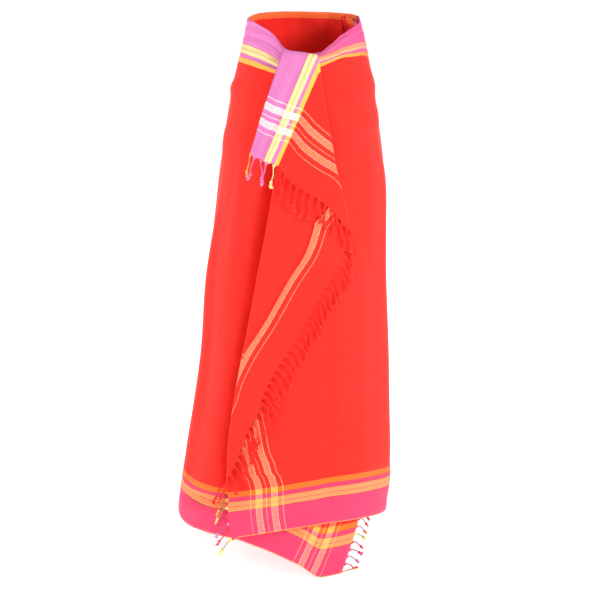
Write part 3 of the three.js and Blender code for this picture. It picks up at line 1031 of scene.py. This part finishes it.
    def sections(self, at: Grid, count: int) -> tuple[Grid, Grid, Grid]:
        """The outlines of the tassels' sections, each with small differences of its own.

        An outline is an oval times three waves: two lobes that turn along the cord as twisted
        plies do, three lumps that turn along the knot, and random raggedness in the tuft.

        Args:
            at: Distances of the sections along a tassel.
            count: How many tassels there are.

        Returns:
            Offsets along the width, the thickness and the tassel's own line, in millimetres,
            each tassels by sections by corners.
        """
        rng = np.random.default_rng(self.seed + 1)
        width, thick = self.section_sizes(at)
        theta = self.corners()
        far = at[None, :, None]
        cord = self.in_cord(far)
        knot = bump(far, self.cord_length + 3, 3.0)
        tuft = ease(far, self.cord_length + self.knot_length - 0.5, at[-1])
        twist = far / self.lay + 6.3 * rng.random((count, 1, 1))
        lobes = 1 + self.ply_depth * cord * np.cos(2 * (theta - twist))
        lumped = np.cos(3 * theta - 1.1 * far + 6.3 * rng.random((count, 1, 1)))
        lumps = 1 + self.lump_depth * knot * lumped
        ragged = 1 + self.ragged * tuft * rng.normal(size=(count, 1, self.sides))
        size = np.clip(lobes * lumps * ragged, 0.25, 1.9)
        ends = self.uneven * tuft * rng.normal(size=(count, 1, self.sides))
        return (width[None, :, None] * size * np.cos(theta),
                thick[None, :, None] * size * np.sin(theta), ends)

    def corners(self) -> Grid:
        """Angles of a section's corners, in radians."""
        return (2 * np.pi * np.arange(self.sides) / self.sides)[None, None, :]

    def build(self, material: bpy.types.Material) -> bpy.types.Object:
        """Makes all tassels of the end as one mesh.

        Each tassel is a tube along its path, with its sections square to the way and the wide
        side along the cloth's edge, closed to the path's two ends.

        Args:
            material: The yarn's material.

        Returns:
            The finished object.
        """
        path, far, across, edge = self.paths()
        at = np.linspace(0, far[-1], self.rings)
        i = np.clip(np.searchsorted(far, at) - 1, 0, len(far) - 2)
        f = ((at - far[i]) / (far[i + 1] - far[i]))[None, :, None]
        line = mix(path[:, i], path[:, i + 1], f)
        way = unit(np.gradient(line, axis=1))
        one = unit(edge[:, None, :] - way * np.sum(edge[:, None, :] * way, -1, keepdims=True))
        directions = (one, np.cross(way, one), way)
        points = line[:, :, None, :] + sum(
            direction[:, :, None, :] * offset[..., None]
            for direction, offset in zip(directions, self.sections(at, len(path))))
        first, last = (np.repeat(end[:, :, None, :], self.sides, axis=2)
                       for end in (line[:, :1], line[:, -1:]))
        points = np.concatenate([first, points, last], axis=1)
        points[..., 2] = np.maximum(points[..., 2], self.clearance)
        number = np.arange(points[..., 0].size).reshape(points.shape[:3])
        turned = np.roll(number, -1, axis=2)
        quads = np.stack([number[:, :-1], turned[:, :-1], turned[:, 1:], number[:, 1:]], -1)
        along = np.concatenate([[0], at, [far[-1]]])[None, :, None] * MM
        uv = np.stack(np.broadcast_arrays(along, self.corners() / (2 * np.pi) * self.girth), -1)
        uv = np.broadcast_to(uv, (*points.shape[:3], 2))
        obj = mesh_object(f"{self.end.value}_fringe_tassels", points.reshape(-1, 3) * MM,
                          quads.reshape(-1, 4), uv.reshape(-1, 2))
        cord = np.concatenate([[0], self.in_cord(at), [0]])
        self.dye(obj, across, np.repeat(cord, self.sides))
        weld(obj)
        obj.data.materials.append(material)
        return obj

    def dye(self, obj: bpy.types.Object, across: Grid, cord: Grid) -> None:
        """Gives every tassel its yarn colour, as a colour attribute named yarn.

        A tassel takes the dye of the nearest row of the colour table, a little lighter or
        darker. Its cord is mixed towards plum as painted shade, darker than the knot and tuft,
        most of all at the hem.

        Args:
            obj: The fringe's object.
            across: The tassels' rows.
            cord: How much each point of a tassel belongs to its cord.
        """
        rows = np.array([row for row, _ in self.dyes])
        colours = np.array([dye.value for _, dye in self.dyes])
        pick = np.abs(across[:, None] - rows[None, :]).argmin(axis=1)
        rng = np.random.default_rng(self.seed + 2)
        chosen = np.clip(colours[pick] * rng.uniform(0.86, 1.06, size=(len(across), 1)), 0, 1)
        # Painted shade: the cords are mixed towards plum, most of all at the hem.
        cord_shade = (0.15 + 0.5 * (1 - ease(across, 0.1, 0.13)))[:, None, None] * cord[None, :, None]
        shaded = mix(chosen[:, None, :], np.array(Dye.PLUM.value)[None, None, :], cord_shade)
        rgba = np.concatenate([shaded, np.ones_like(shaded[..., :1])], axis=-1)
        # The yarn attribute holds the dye with the cords' painted shade mixed in.
        layer = obj.data.color_attributes.new(name="yarn", type="FLOAT_COLOR", domain="POINT")
        layer.data.foreach_set("color", rgba.astype(np.float32).ravel())


def weld(obj: bpy.types.Object) -> None:
    """Joins points that lie on each other, so that ends close, and turns all faces out.

    Args:
        obj: The mesh object to change.
    """
    work = bmesh.new()
    work.from_mesh(obj.data)
    bmesh.ops.remove_doubles(work, verts=work.verts, dist=1e-7)
    bmesh.ops.recalc_face_normals(work, faces=work.faces)
    work.to_mesh(obj.data)
    work.free()


@dataclass
class Nodes:
    """A node tree with short ways to add, set and join nodes."""

    tree: bpy.types.NodeTree

    def add(self, kind: str, inputs: dict[int | str, object] | None = None,
            **settings: object) -> bpy.types.Node:
        """Adds a node, sets its properties, and sets or joins its inputs.

        Args:
            kind: The node's type name without the ShaderNode start.
            inputs: Values or output sockets, by the input's number or name.
            settings: Properties of the node.

        Returns:
            The node.
        """
        node = self.tree.nodes.new(kind if kind.startswith("Node") else "ShaderNode" + kind)
        for key, value in settings.items():
            setattr(node, key, value)
        for key, value in (inputs or {}).items():
            if isinstance(value, bpy.types.NodeSocket):
                self.tree.links.new(value, node.inputs[key])
            else:
                node.inputs[key].default_value = value
        return node

    def join(self, value: bpy.types.NodeSocket, socket: bpy.types.NodeSocket) -> None:
        """Joins an output socket to an input socket."""
        self.tree.links.new(value, socket)

    def math(self, operation: str, *values: object, clamp: bool = False) -> bpy.types.NodeSocket:
        """A sum, product or other function of one to three values.

        Args:
            operation: The Math node's operation.
            values: Values or output sockets.
            clamp: Whether the result is kept between 0 and 1.

        Returns:
            The result's socket.
        """
        inputs = dict(enumerate(values))
        return self.add("Math", inputs, operation=operation, use_clamp=clamp).outputs[0]

    def blend(self, factor: object, a: object, b: object,
              kind: str = "MIX") -> bpy.types.NodeSocket:
        """A colour between two others.

        Args:
            factor: 0 for the first colour to 1 for the second, a value or a socket.
            a: The first colour or its socket.
            b: The second colour or its socket.
            kind: The Mix node's way of blending.

        Returns:
            The colour's socket.
        """
        node = self.add("Mix", {0: factor, 6: a, 7: b}, data_type="RGBA", blend_type=kind,
                        clamp_factor=True)
        return node.outputs[2]

    def scaled(self, colour: object, factor: object) -> bpy.types.NodeSocket:
        """A colour times a factor.

        Args:
            colour: The colour's socket.
            factor: The factor's socket.

        Returns:
            The product's socket.
        """
        return self.add("VectorMath", {0: colour, "Scale": factor}, operation="SCALE").outputs[0]

    def ramp(self, factor: object, stops: list[tuple[float, tuple[float, ...]]],
             hard: bool = True) -> bpy.types.NodeSocket:
        """A colour picked from a ramp.

        Args:
            factor: Place on the ramp from 0 to 1, a socket.
            stops: Places and colours, in rising order, two or more.
            hard: Whether a colour holds until the next stop, or blends into its colour.

        Returns:
            The colour's socket.
        """
        node = self.add("ValToRGB", {0: factor})
        band = node.color_ramp
        band.interpolation = "CONSTANT" if hard else "LINEAR"
        band.elements[0].position, band.elements[0].color = stops[0]
        band.elements[1].position, band.elements[1].color = stops[1]
        for position, colour in stops[2:]:
            band.elements.new(position).color = colour
        return node.outputs[0]


def new_group(name: str, inputs: dict[str, str], outputs: dict[str, str]
              ) -> tuple[Nodes, bpy.types.Node, bpy.types.Node]:
    """Makes an empty shader node group.

    Args:
        name: Its name.
        inputs: Socket types by name, such as NodeSocketFloat.
        outputs: The same for its outputs.

    Returns:
        The tree, its input node and its output node.
    """
    tree = bpy.data.node_groups.new(name, "ShaderNodeTree")
    for side, sockets in (("INPUT", inputs), ("OUTPUT", outputs)):
        for socket, kind in sockets.items():
            tree.interface.new_socket(socket, in_out=side, socket_type=kind)
    nodes = Nodes(tree)
    return nodes, nodes.add("NodeGroupInput"), nodes.add("NodeGroupOutput")


FLOAT, COLOUR, VECTOR = "NodeSocketFloat", "NodeSocketColor", "NodeSocketVector"


def thread_tone() -> bpy.types.NodeTree:
    """Builds the uneven tone of spun yarn: long fine streaks of noise along each direction.

    Returns:
        A group from Place and Amount to the factors Lengthwise, Crosswise, Cloudy and Fleck.
    """
    names = ("Lengthwise", "Crosswise", "Cloudy", "Fleck")
    n, i, o = new_group("thread_tone", {"Place": VECTOR, "Amount": FLOAT},
                        {name: FLOAT for name in names})
    scales = ((22.0, 900.0, 1.0), (900.0, 22.0, 1.0), (7.0, 9.0, 7.0), (330.0, 250.0, 1.0))
    for name, scale in zip(names, scales):
        at = n.add("VectorMath", {0: i.outputs["Place"], 1: scale}, operation="MULTIPLY")
        noise = n.add("TexNoise", {"Vector": at.outputs[0], "Scale": 1.0, "Detail": 2.0})
        spread = n.math("SUBTRACT", noise.outputs[0], 0.5)
        if name == "Fleck":
            spread = n.math("MULTIPLY", spread, 6.0)
        scaled = n.math("MULTIPLY", spread, i.outputs["Amount"])
        n.join(n.math("ADD", scaled, 1.0), o.inputs[name])
    return n.tree


def plain_weave() -> bpy.types.NodeTree:
    """Builds the height of a plain weave: the product of two sines, half a wave a yarn.

    Returns:
        A group from Place and Pitch to Height.
    """
    n, i, o = new_group("plain_weave", {"Place": VECTOR, "Pitch": FLOAT}, {"Height": FLOAT})
    parts = n.add("SeparateXYZ", {0: i.outputs["Place"]})
    turns = n.math("DIVIDE", math.pi, i.outputs["Pitch"])
    waves = [n.math("SINE", n.math("MULTIPLY", parts.outputs[k], turns)) for k in (0, 1)]
    n.join(n.math("MULTIPLY_ADD", n.math("MULTIPLY", *waves), 0.5, 0.5), o.inputs[0])
    return n.tree


def crumple() -> bpy.types.NodeTree:
    """Builds the height of small soft creases: two noises, drawn out along the cloth.

    Returns:
        A group from Place to Height.
    """
    n, i, o = new_group("crumple", {"Place": VECTOR}, {"Height": FLOAT})
    heights = []
    for scale, share in (((9.0, 34.0, 1.0), 0.6), ((31.0, 12.0, 1.0), 0.4)):
        at = n.add("VectorMath", {0: i.outputs["Place"], 1: scale}, operation="MULTIPLY")
        noise = n.add("TexNoise", {"Vector": at.outputs[0], "Scale": 1.0, "Detail": 1.5,
                                   "Distortion": 0.8})
        heights.append(n.math("MULTIPLY", noise.outputs[0], share))
    n.join(n.math("ADD", *heights), o.inputs[0])
    return n.tree


@dataclass(frozen=True)
class Stripe:
    """A stripe, from a distance off the edge to where the next one starts.

    Attributes:
        start: The distance, in millimetres.
        dye: Its yarn.
        share: How much of the yarn shows, the rest being the ground.
    """

    start: float
    dye: Dye
    share: float = 1.0


@dataclass(frozen=True)
class StripedCotton:
    """The cloth's finish: stripes woven along both selvedges and across both ends.

    Attributes:
        length: The woven length, in metres.
        width: The woven width, in metres.
        span: The distance off an edge that its ramp covers, in millimetres.
        border: Width of a selvedge's stripes, in millimetres.
        hem: Lengthwise yarns from the lower selvedge.
        waist: Lengthwise yarns from the upper selvedge.
        ends: Crosswise yarns from either end; a share is how much they cover.
        unevenness: How much the yarn's tone varies.
        yarn: The weave's pitch, in metres.
    """

    length: float
    width: float
    span: float = 130.0
    border: float = 100.0
    hem: tuple[Stripe, ...] = (
        Stripe(0, Dye.APRICOT), Stripe(1.8, Dye.PINK), Stripe(45, Dye.PLUM, 0.45),
        Stripe(45.7, Dye.PINK), Stripe(50, Dye.PLUM, 0.4), Stripe(50.6, Dye.PINK),
        Stripe(56, Dye.PLUM, 0.75), Stripe(57.6, Dye.APRICOT), Stripe(66.8, Dye.PLUM, 0.6),
        Stripe(68, Dye.APRICOT), Stripe(77.8, Dye.PLUM, 0.7), Stripe(79.2, Dye.PLUM, 0.2),
        Stripe(87, Dye.PLUM, 0.5), Stripe(88, Dye.ORANGE), Stripe(100, Dye.RED),
    )
    waist: tuple[Stripe, ...] = (
        Stripe(0, Dye.PLUM, 0.4), Stripe(0.9, Dye.LILAC), Stripe(20, Dye.PLUM, 0.18),
        Stripe(20.8, Dye.LILAC), Stripe(45, Dye.PLUM, 0.35), Stripe(45.8, Dye.LILAC),
        Stripe(56, Dye.PLUM, 0.5), Stripe(57.4, Dye.CREAM), Stripe(66.8, Dye.PLUM, 0.5),
        Stripe(68, Dye.CREAM), Stripe(77.8, Dye.PLUM, 0.5), Stripe(79.2, Dye.LILAC),
        Stripe(88, Dye.YELLOW), Stripe(100, Dye.RED),
    )
    ends: tuple[Stripe, ...] = (
        Stripe(0, Dye.RED, 0), Stripe(49.8, Dye.CREAM, 0.24), Stripe(52.2, Dye.RED, 0),
        Stripe(62, Dye.WHITE, 0.38), Stripe(63.4, Dye.CREAM, 0.25), Stripe(74.6, Dye.WHITE, 0.38),
        Stripe(76, Dye.RED, 0), Stripe(83.8, Dye.CREAM, 0.24), Stripe(86.2, Dye.RED, 0),
        Stripe(95, Dye.WHITE, 0.38), Stripe(96.4, Dye.CREAM, 0.25), Stripe(107.6, Dye.WHITE, 0.38),
        Stripe(109, Dye.RED, 0), Stripe(118.8, Dye.CREAM, 0.24), Stripe(121.2, Dye.RED, 0),
    )

    unevenness: float = 0.34
    yarn: float = 0.0008

    def stops(self, stripes: tuple[Stripe, ...], ground: Dye
              ) -> list[tuple[float, tuple[float, ...]]]:
        """Ramp stops of some stripes; a share under 1 lets the ground show through.

        Args:
            stripes: The stripes, from the edge inwards.
            ground: The dye that shows through.

        Returns:
            Places on the ramp and their colours.
        """
        return [(s.start / self.span,
                 (*(np.array(s.dye.value) * s.share + np.array(ground.value) * (1 - s.share)), 1))
                for s in stripes]

    def pattern(self) -> bpy.types.NodeTree:
        """Builds the woven stripes.

        The distance from the nearer selvedge picks the lengthwise yarn from a ramp, and the nearer
        end's distance the crosswise yarn and how much of it shows. The waist border is tinted
        pinker and darker at the back and at the inner end, as painted shade. Crosswise stripes are
        whiter on the waist border, and where they cross a bright stripe of the hem the meeting is
        a bright yellow.

        Returns:
            A group from Place to the colours Lengthwise and Crosswise, and the mask Share.
        """
        n, i, o = new_group("woven_stripes", {"Place": VECTOR},
                            {"Lengthwise": COLOUR, "Crosswise": COLOUR, "Share": FLOAT})
        parts = n.add("SeparateXYZ", {0: i.outputs["Place"]})
        scale = 1000.0 / self.span
        off_hem = n.math("MULTIPLY", parts.outputs[1], scale)
        off_waist = n.math("MULTIPLY", n.math("SUBTRACT", self.width, parts.outputs[1]), scale)
        far = n.math("SUBTRACT", self.length, parts.outputs[0])
        near = n.math("MINIMUM", parts.outputs[0], far)
        off_end = n.math("MULTIPLY", near, scale)
        hem = n.ramp(off_hem, self.stops(self.hem, Dye.PINK))
        waist = n.ramp(off_waist, self.stops(self.waist, Dye.LILAC))
        upper = n.math("GREATER_THAN", parts.outputs[1], self.width / 2)
        crosswise = n.ramp(off_end, [(s.start / self.span, s.dye.rgba) for s in self.ends])
        share = n.ramp(off_end, [(s.start / self.span, (s.share,) * 3 + (1,)) for s in self.ends])
        in_waist = n.math("LESS_THAN", off_waist, self.border / self.span)
        along = n.math("DIVIDE", parts.outputs[0], self.length)
        # Painted shade: a tint that makes the waist border pinker and darker at the back and near
        # the inner end.
        shade_tint = n.ramp(along, [(0.1, (1, 0.3, 0.5, 1)), (0.17, (1, 1, 1, 1)),
                              (0.27, (1, 1, 1, 1)), (0.42, (1, 0.34, 0.5, 1)),
                              (0.74, (1, 0.36, 0.5, 1)), (0.8, (1, 0.62, 0.62, 1)),
                              (0.87, (1, 1, 1, 1))], hard=False)
        shade_tint = n.blend(in_waist, (1, 1, 1, 1), shade_tint)
        waist = n.blend(1.0, waist, shade_tint, "MULTIPLY")
        lengthwise = n.blend(upper, hem, waist)
        green = n.add("SeparateColor", {0: lengthwise}).outputs[1]
        bright = n.math("GREATER_THAN", green, 0.13)
        whiter = n.blend(n.math("MULTIPLY", in_waist, 0.8), crosswise, Dye.WHITE.rgba)
        meeting = n.math("MULTIPLY", bright, n.math("SUBTRACT", 1.0, in_waist))
        crosswise = n.blend(meeting, whiter, (1.0, 0.55, 0.11, 1))
        more = n.math("MULTIPLY_ADD", n.math("MAXIMUM", in_waist, meeting), 1.6, 1.0)
        for socket, name in ((lengthwise, "Lengthwise"), (crosswise, "Crosswise"),
                             (n.math("MULTIPLY", share, more), "Share")):
            n.join(socket, o.inputs[name])
        return n.tree

    def build(self, groups: dict[str, bpy.types.NodeTree]) -> bpy.types.Material:
        """Builds the cloth's material from the shared groups.

        Args:
            groups: The node groups by name.

        Returns:
            The material.
        """
        material, n, shader = new_material("striped_cotton", {
            "Sheen Weight": 0.18, "Sheen Roughness": 0.4, "Specular IOR Level": 0.2})
        uv = n.add("UVMap", uv_map="weave").outputs[0]
        stripes = n.add("Group", {"Place": uv}, node_tree=self.pattern())
        tone = n.add("Group", {"Place": uv, "Amount": self.unevenness},
                     node_tree=groups["thread_tone"])
        yarns = [n.scaled(stripes.outputs[way], tone.outputs[way])
                 for way in ("Lengthwise", "Crosswise")]
        share = n.math("MULTIPLY", stripes.outputs["Share"], tone.outputs["Fleck"], clamp=True)
        colour = n.scaled(n.blend(share, *yarns), tone.outputs["Cloudy"])
        n.join(colour, shader.inputs["Base Color"])
        weave = n.add("Group", {"Place": uv, "Pitch": self.yarn}, node_tree=groups["plain_weave"])
        creases = n.add("Group", {"Place": uv}, node_tree=groups["crumple"])
        coarse = n.add("Bump", {"Strength": 0.55, "Distance": 0.006,
                                "Height": creases.outputs[0]})
        fine = n.add("Bump", {"Strength": 0.25, "Distance": 0.0002, "Height": weave.outputs[0],
                              "Normal": coarse.outputs[0]})
        n.join(fine.outputs[0], shader.inputs["Normal"])
        n.join(n.math("MULTIPLY", tone.outputs["Cloudy"], 0.86), shader.inputs["Roughness"])
        return material


def new_material(name: str, values: dict[str, object]
                 ) -> tuple[bpy.types.Material, Nodes, bpy.types.Node]:
    """Makes a material with a Principled shader and its output.

    Args:
        name: The material's name.
        values: Values of the shader's inputs, by name.

    Returns:
        The material, its nodes and the shader.
    """
    material = bpy.data.materials.new(name)
    material.use_nodes = True
    material.node_tree.nodes.clear()
    n = Nodes(material.node_tree)
    shader = n.add("BsdfPrincipled", values)
    n.add("OutputMaterial", {0: shader.outputs[0]})
    return material, n, shader


@dataclass(frozen=True)
class FringeYarn:
    """The tassels' finish: dyed twisted yarn, with fine plies along it.

    Attributes:
        unevenness: How much the yarn's tone varies.
        ply: Pitch of the plies, in metres.
        ridge: How high they stand, in metres.
    """

    unevenness: float = 0.5
    ply: float = 0.0006
    ridge: float = 0.0003

    def build(self, groups: dict[str, bpy.types.NodeTree]) -> bpy.types.Material:
        """Builds the yarn's material: its dye and the cords' painted shade from the yarn
        attribute, streaked and ridged.

        Args:
            groups: The node groups by name.

        Returns:
            The material.
        """
        material, n, shader = new_material("fringe_yarn", {
            "Roughness": 0.85, "Sheen Weight": 0.1, "Specular IOR Level": 0.2})
        uv = n.add("UVMap", uv_map="weave").outputs[0]
        # The yarn attribute holds each tassel's dye, with painted shade on its cord.
        dye = n.add("Attribute", attribute_name="yarn").outputs["Color"]
        tone = n.add("Group", {"Place": uv, "Amount": self.unevenness},
                     node_tree=groups["thread_tone"])
        streaked = n.scaled(n.scaled(dye, tone.outputs["Crosswise"]), tone.outputs["Lengthwise"])
        n.join(streaked, shader.inputs["Base Color"])
        ply = n.add("Group", {"Place": uv, "Pitch": self.ply}, node_tree=groups["plain_weave"])
        ridge = n.add("Bump", {"Strength": 0.4, "Distance": self.ridge, "Height": ply.outputs[0]})
        n.join(ridge.outputs[0], shader.inputs["Normal"])
        return material


@dataclass(frozen=True)
class Lamp:
    """A square soft light.

    Attributes:
        name: Its name.
        place: Where it stands, in metres.
        size: Its side, in metres.
        watts: Its power.
    """

    name: str
    place: tuple[float, float, float]
    size: float
    watts: float


@dataclass(frozen=True)
class Studio:
    """The plain pale floor, the soft lights and the camera.

    Attributes:
        target: What the camera looks at, in metres.
        distance: How far in front of it the camera stands.
        rise: How far above it the camera stands.
        lens: The focal length for a 36 mm wide film.
        middle: What the lamps are turned to.
        lamps: The lamps.
        sky: Strength of the white surroundings.
        floor_half: Half the floor's side.
        floor_z: Height of the floor, just under the hem.
        floor_glow: Strength of the floor's own light, which keeps it as pale as the photo's.
    """

    target: tuple[float, float, float] = (0.0340, -0.0007, 0.558)
    distance: float = 3.6
    rise: float = 0.8976
    lens: float = 106.38
    middle: tuple[float, float, float] = (0.0, 0.0, 0.6)
    lamps: tuple[Lamp, ...] = (
        Lamp("key", (3.0, -2.5, 2.4), 1.2, 134), Lamp("fill", (-3.6, -0.7, 1.7), 1.6, 84),
        Lamp("back", (-0.6, 3.2, 2.8), 2.4, 34),
    )
    sky: float = 0.4
    floor_half: float = 40.0
    floor_z: float = -0.0005
    floor_glow: float = 0.68

    def floor(self) -> bpy.types.Object:
        """Builds the floor: one wide square with a plain matte finish, faintly uneven.

        Returns:
            The floor's object.
        """
        signs = np.array([[-1, -1, 0], [1, -1, 0], [1, 1, 0], [-1, 1, 0]])
        corner = signs * self.floor_half + np.array([0, 0, self.floor_z])
        obj = mesh_object("floor", corner, np.array([[0, 1, 2, 3]]), corner[:, :2])
        material, n, shader = new_material("pale_floor", {
            "Roughness": 1.0, "Specular IOR Level": 0.0,
            "Emission Color": (1.0, 1.0, 1.0, 1.0), "Emission Strength": self.floor_glow})
        at = n.add("TexCoord").outputs["Object"]
        noise = n.add("TexNoise", {"Vector": at, "Scale": 1.5, "Detail": 1.0})
        tones = [(0.3, (0.94, 0.94, 0.94, 1)), (0.7, (0.96, 0.96, 0.96, 1))]
        pale = n.ramp(noise.outputs[0], tones, hard=False)
        n.join(pale, shader.inputs["Base Color"])
        obj.data.materials.append(material)
        return obj

    def light(self, lamp: Lamp) -> None:
        """Adds a lamp, turned to the middle of the part.

        Args:
            lamp: The lamp.
        """
        data = bpy.data.lights.new(lamp.name, "AREA")
        data.shape, data.size, data.energy = "SQUARE", lamp.size, lamp.watts
        self.stand(data, lamp.place, self.middle)

    def stand(self, data: bpy.types.ID, place: tuple[float, float, float],
              target: tuple[float, float, float]) -> bpy.types.Object:
        """Puts a light or a camera at a place, looking at another.

        Args:
            data: The light or the camera.
            place: Where it stands, in metres.
            target: Where it looks, in metres.

        Returns:
            Its object, linked to the scene.
        """
        obj = bpy.data.objects.new(data.name, data)
        obj.location = place
        way = Vector(target) - obj.location
        obj.rotation_euler = way.to_track_quat("-Z", "Y").to_euler()
        bpy.context.scene.collection.objects.link(obj)
        return obj

    def build(self) -> None:
        """Builds the floor, lights, surroundings and camera."""
        self.floor()
        for lamp in self.lamps:
            self.light(lamp)
        scene = bpy.context.scene
        scene.world = bpy.data.worlds.new("surroundings")
        scene.world.use_nodes = True
        sky = scene.world.node_tree.nodes["Background"]
        sky.inputs[0].default_value = (1.0, 1.0, 1.0, 1.0)
        sky.inputs[1].default_value = self.sky
        scene.view_settings.view_transform = "Standard"
        data = bpy.data.cameras.new("camera")
        data.sensor_width, data.lens, data.clip_end = 36.0, self.lens, 200.0
        x, y, z = self.target
        scene.camera = self.stand(data, (x, y - self.distance, z + self.rise), self.target)


def hang_tables() -> dict[End, SmoothTable]:
    """How the tassels of each end slant and bend, by their place across the cloth.

    Returns:
        Tables of the slant from straight down and the bend in millimetres, by end.
    """
    columns = ("across", "side", "bend")
    outer = ((0, 0.55, 24), (0.08, 0.4, 24), (0.14, 0, 24), (0.2, -0.35, 24), (0.66, -0.3, 24),
             (0.72, -0.1, 14), (0.76, -0.08, 9), (0.9, 0, 9), (1, 0.12, 16))
    inner = ((0, -1.2, 24), (0.05, -1.3, 24), (0.12, -0.9, 24), (0.2, -0.2, 24), (1, 0, 24))
    return {End.OUTER: SmoothTable(columns, outer), End.INNER: SmoothTable(columns, inner)}


def tassel_dyes() -> dict[End, tuple[tuple[float, Dye], ...]]:
    """The tassels' colours by their place across the cloth.

    Returns:
        Rows of a place and a dye, by end.
    """
    return {
        End.OUTER: ((0.0, Dye.LIME), (0.016, Dye.PINK), (0.032, Dye.LILAC), (0.048, Dye.PINK),
                    (0.064, Dye.CREAM), (0.082, Dye.YELLOW), (0.098, Dye.ORANGE),
                    (0.12, Dye.RED), (0.5, Dye.RED), (0.89, Dye.RED), (0.908, Dye.CREAM),
                    (0.92, Dye.CREAM), (0.942, Dye.LILAC), (0.958, Dye.LILAC),
                    (0.975, Dye.LILAC), (1.0, Dye.YELLOW)),
        End.INNER: ((0.0, Dye.YELLOW), (0.016, Dye.PINK), (0.032, Dye.LILAC), (0.048, Dye.PINK),
                    (0.066, Dye.LIME), (0.084, Dye.ORANGE), (0.1, Dye.RED), (1.0, Dye.RED)),
    }


def main() -> None:
    """Loads the frame, builds the kikoy on it and sets up the studio."""
    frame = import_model()
    LOG.info("frame: %d nodes", len(frame["nodes"]))
    groups = {"thread_tone": thread_tone(), "plain_weave": plain_weave(), "crumple": crumple()}
    cloth = Cloth()
    cotton = StripedCotton(cloth.length, cloth.width).build(groups)
    yarn = FringeYarn().build(groups)
    sheet = cloth.build(cotton)
    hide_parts("cloth")
    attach(sheet, "root")
    LOG.info("cloth: %d points", len(sheet.data.vertices))
    for end, seed in ((End.OUTER, 11), (End.INNER, 23)):
        fringe = Fringe(cloth.drape, end, hang_tables()[end], tassel_dyes()[end], seed)
        obj = fringe.build(yarn)
        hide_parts(f"{end.value}_end_fringe")
        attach(obj, "root")
        LOG.info("%s: %d faces", obj.name, len(obj.data.polygons))
    Studio().build()


if __name__ == "__main__":
    logging.basicConfig(level=logging.INFO, format="%(name)s: %(message)s")
    main()
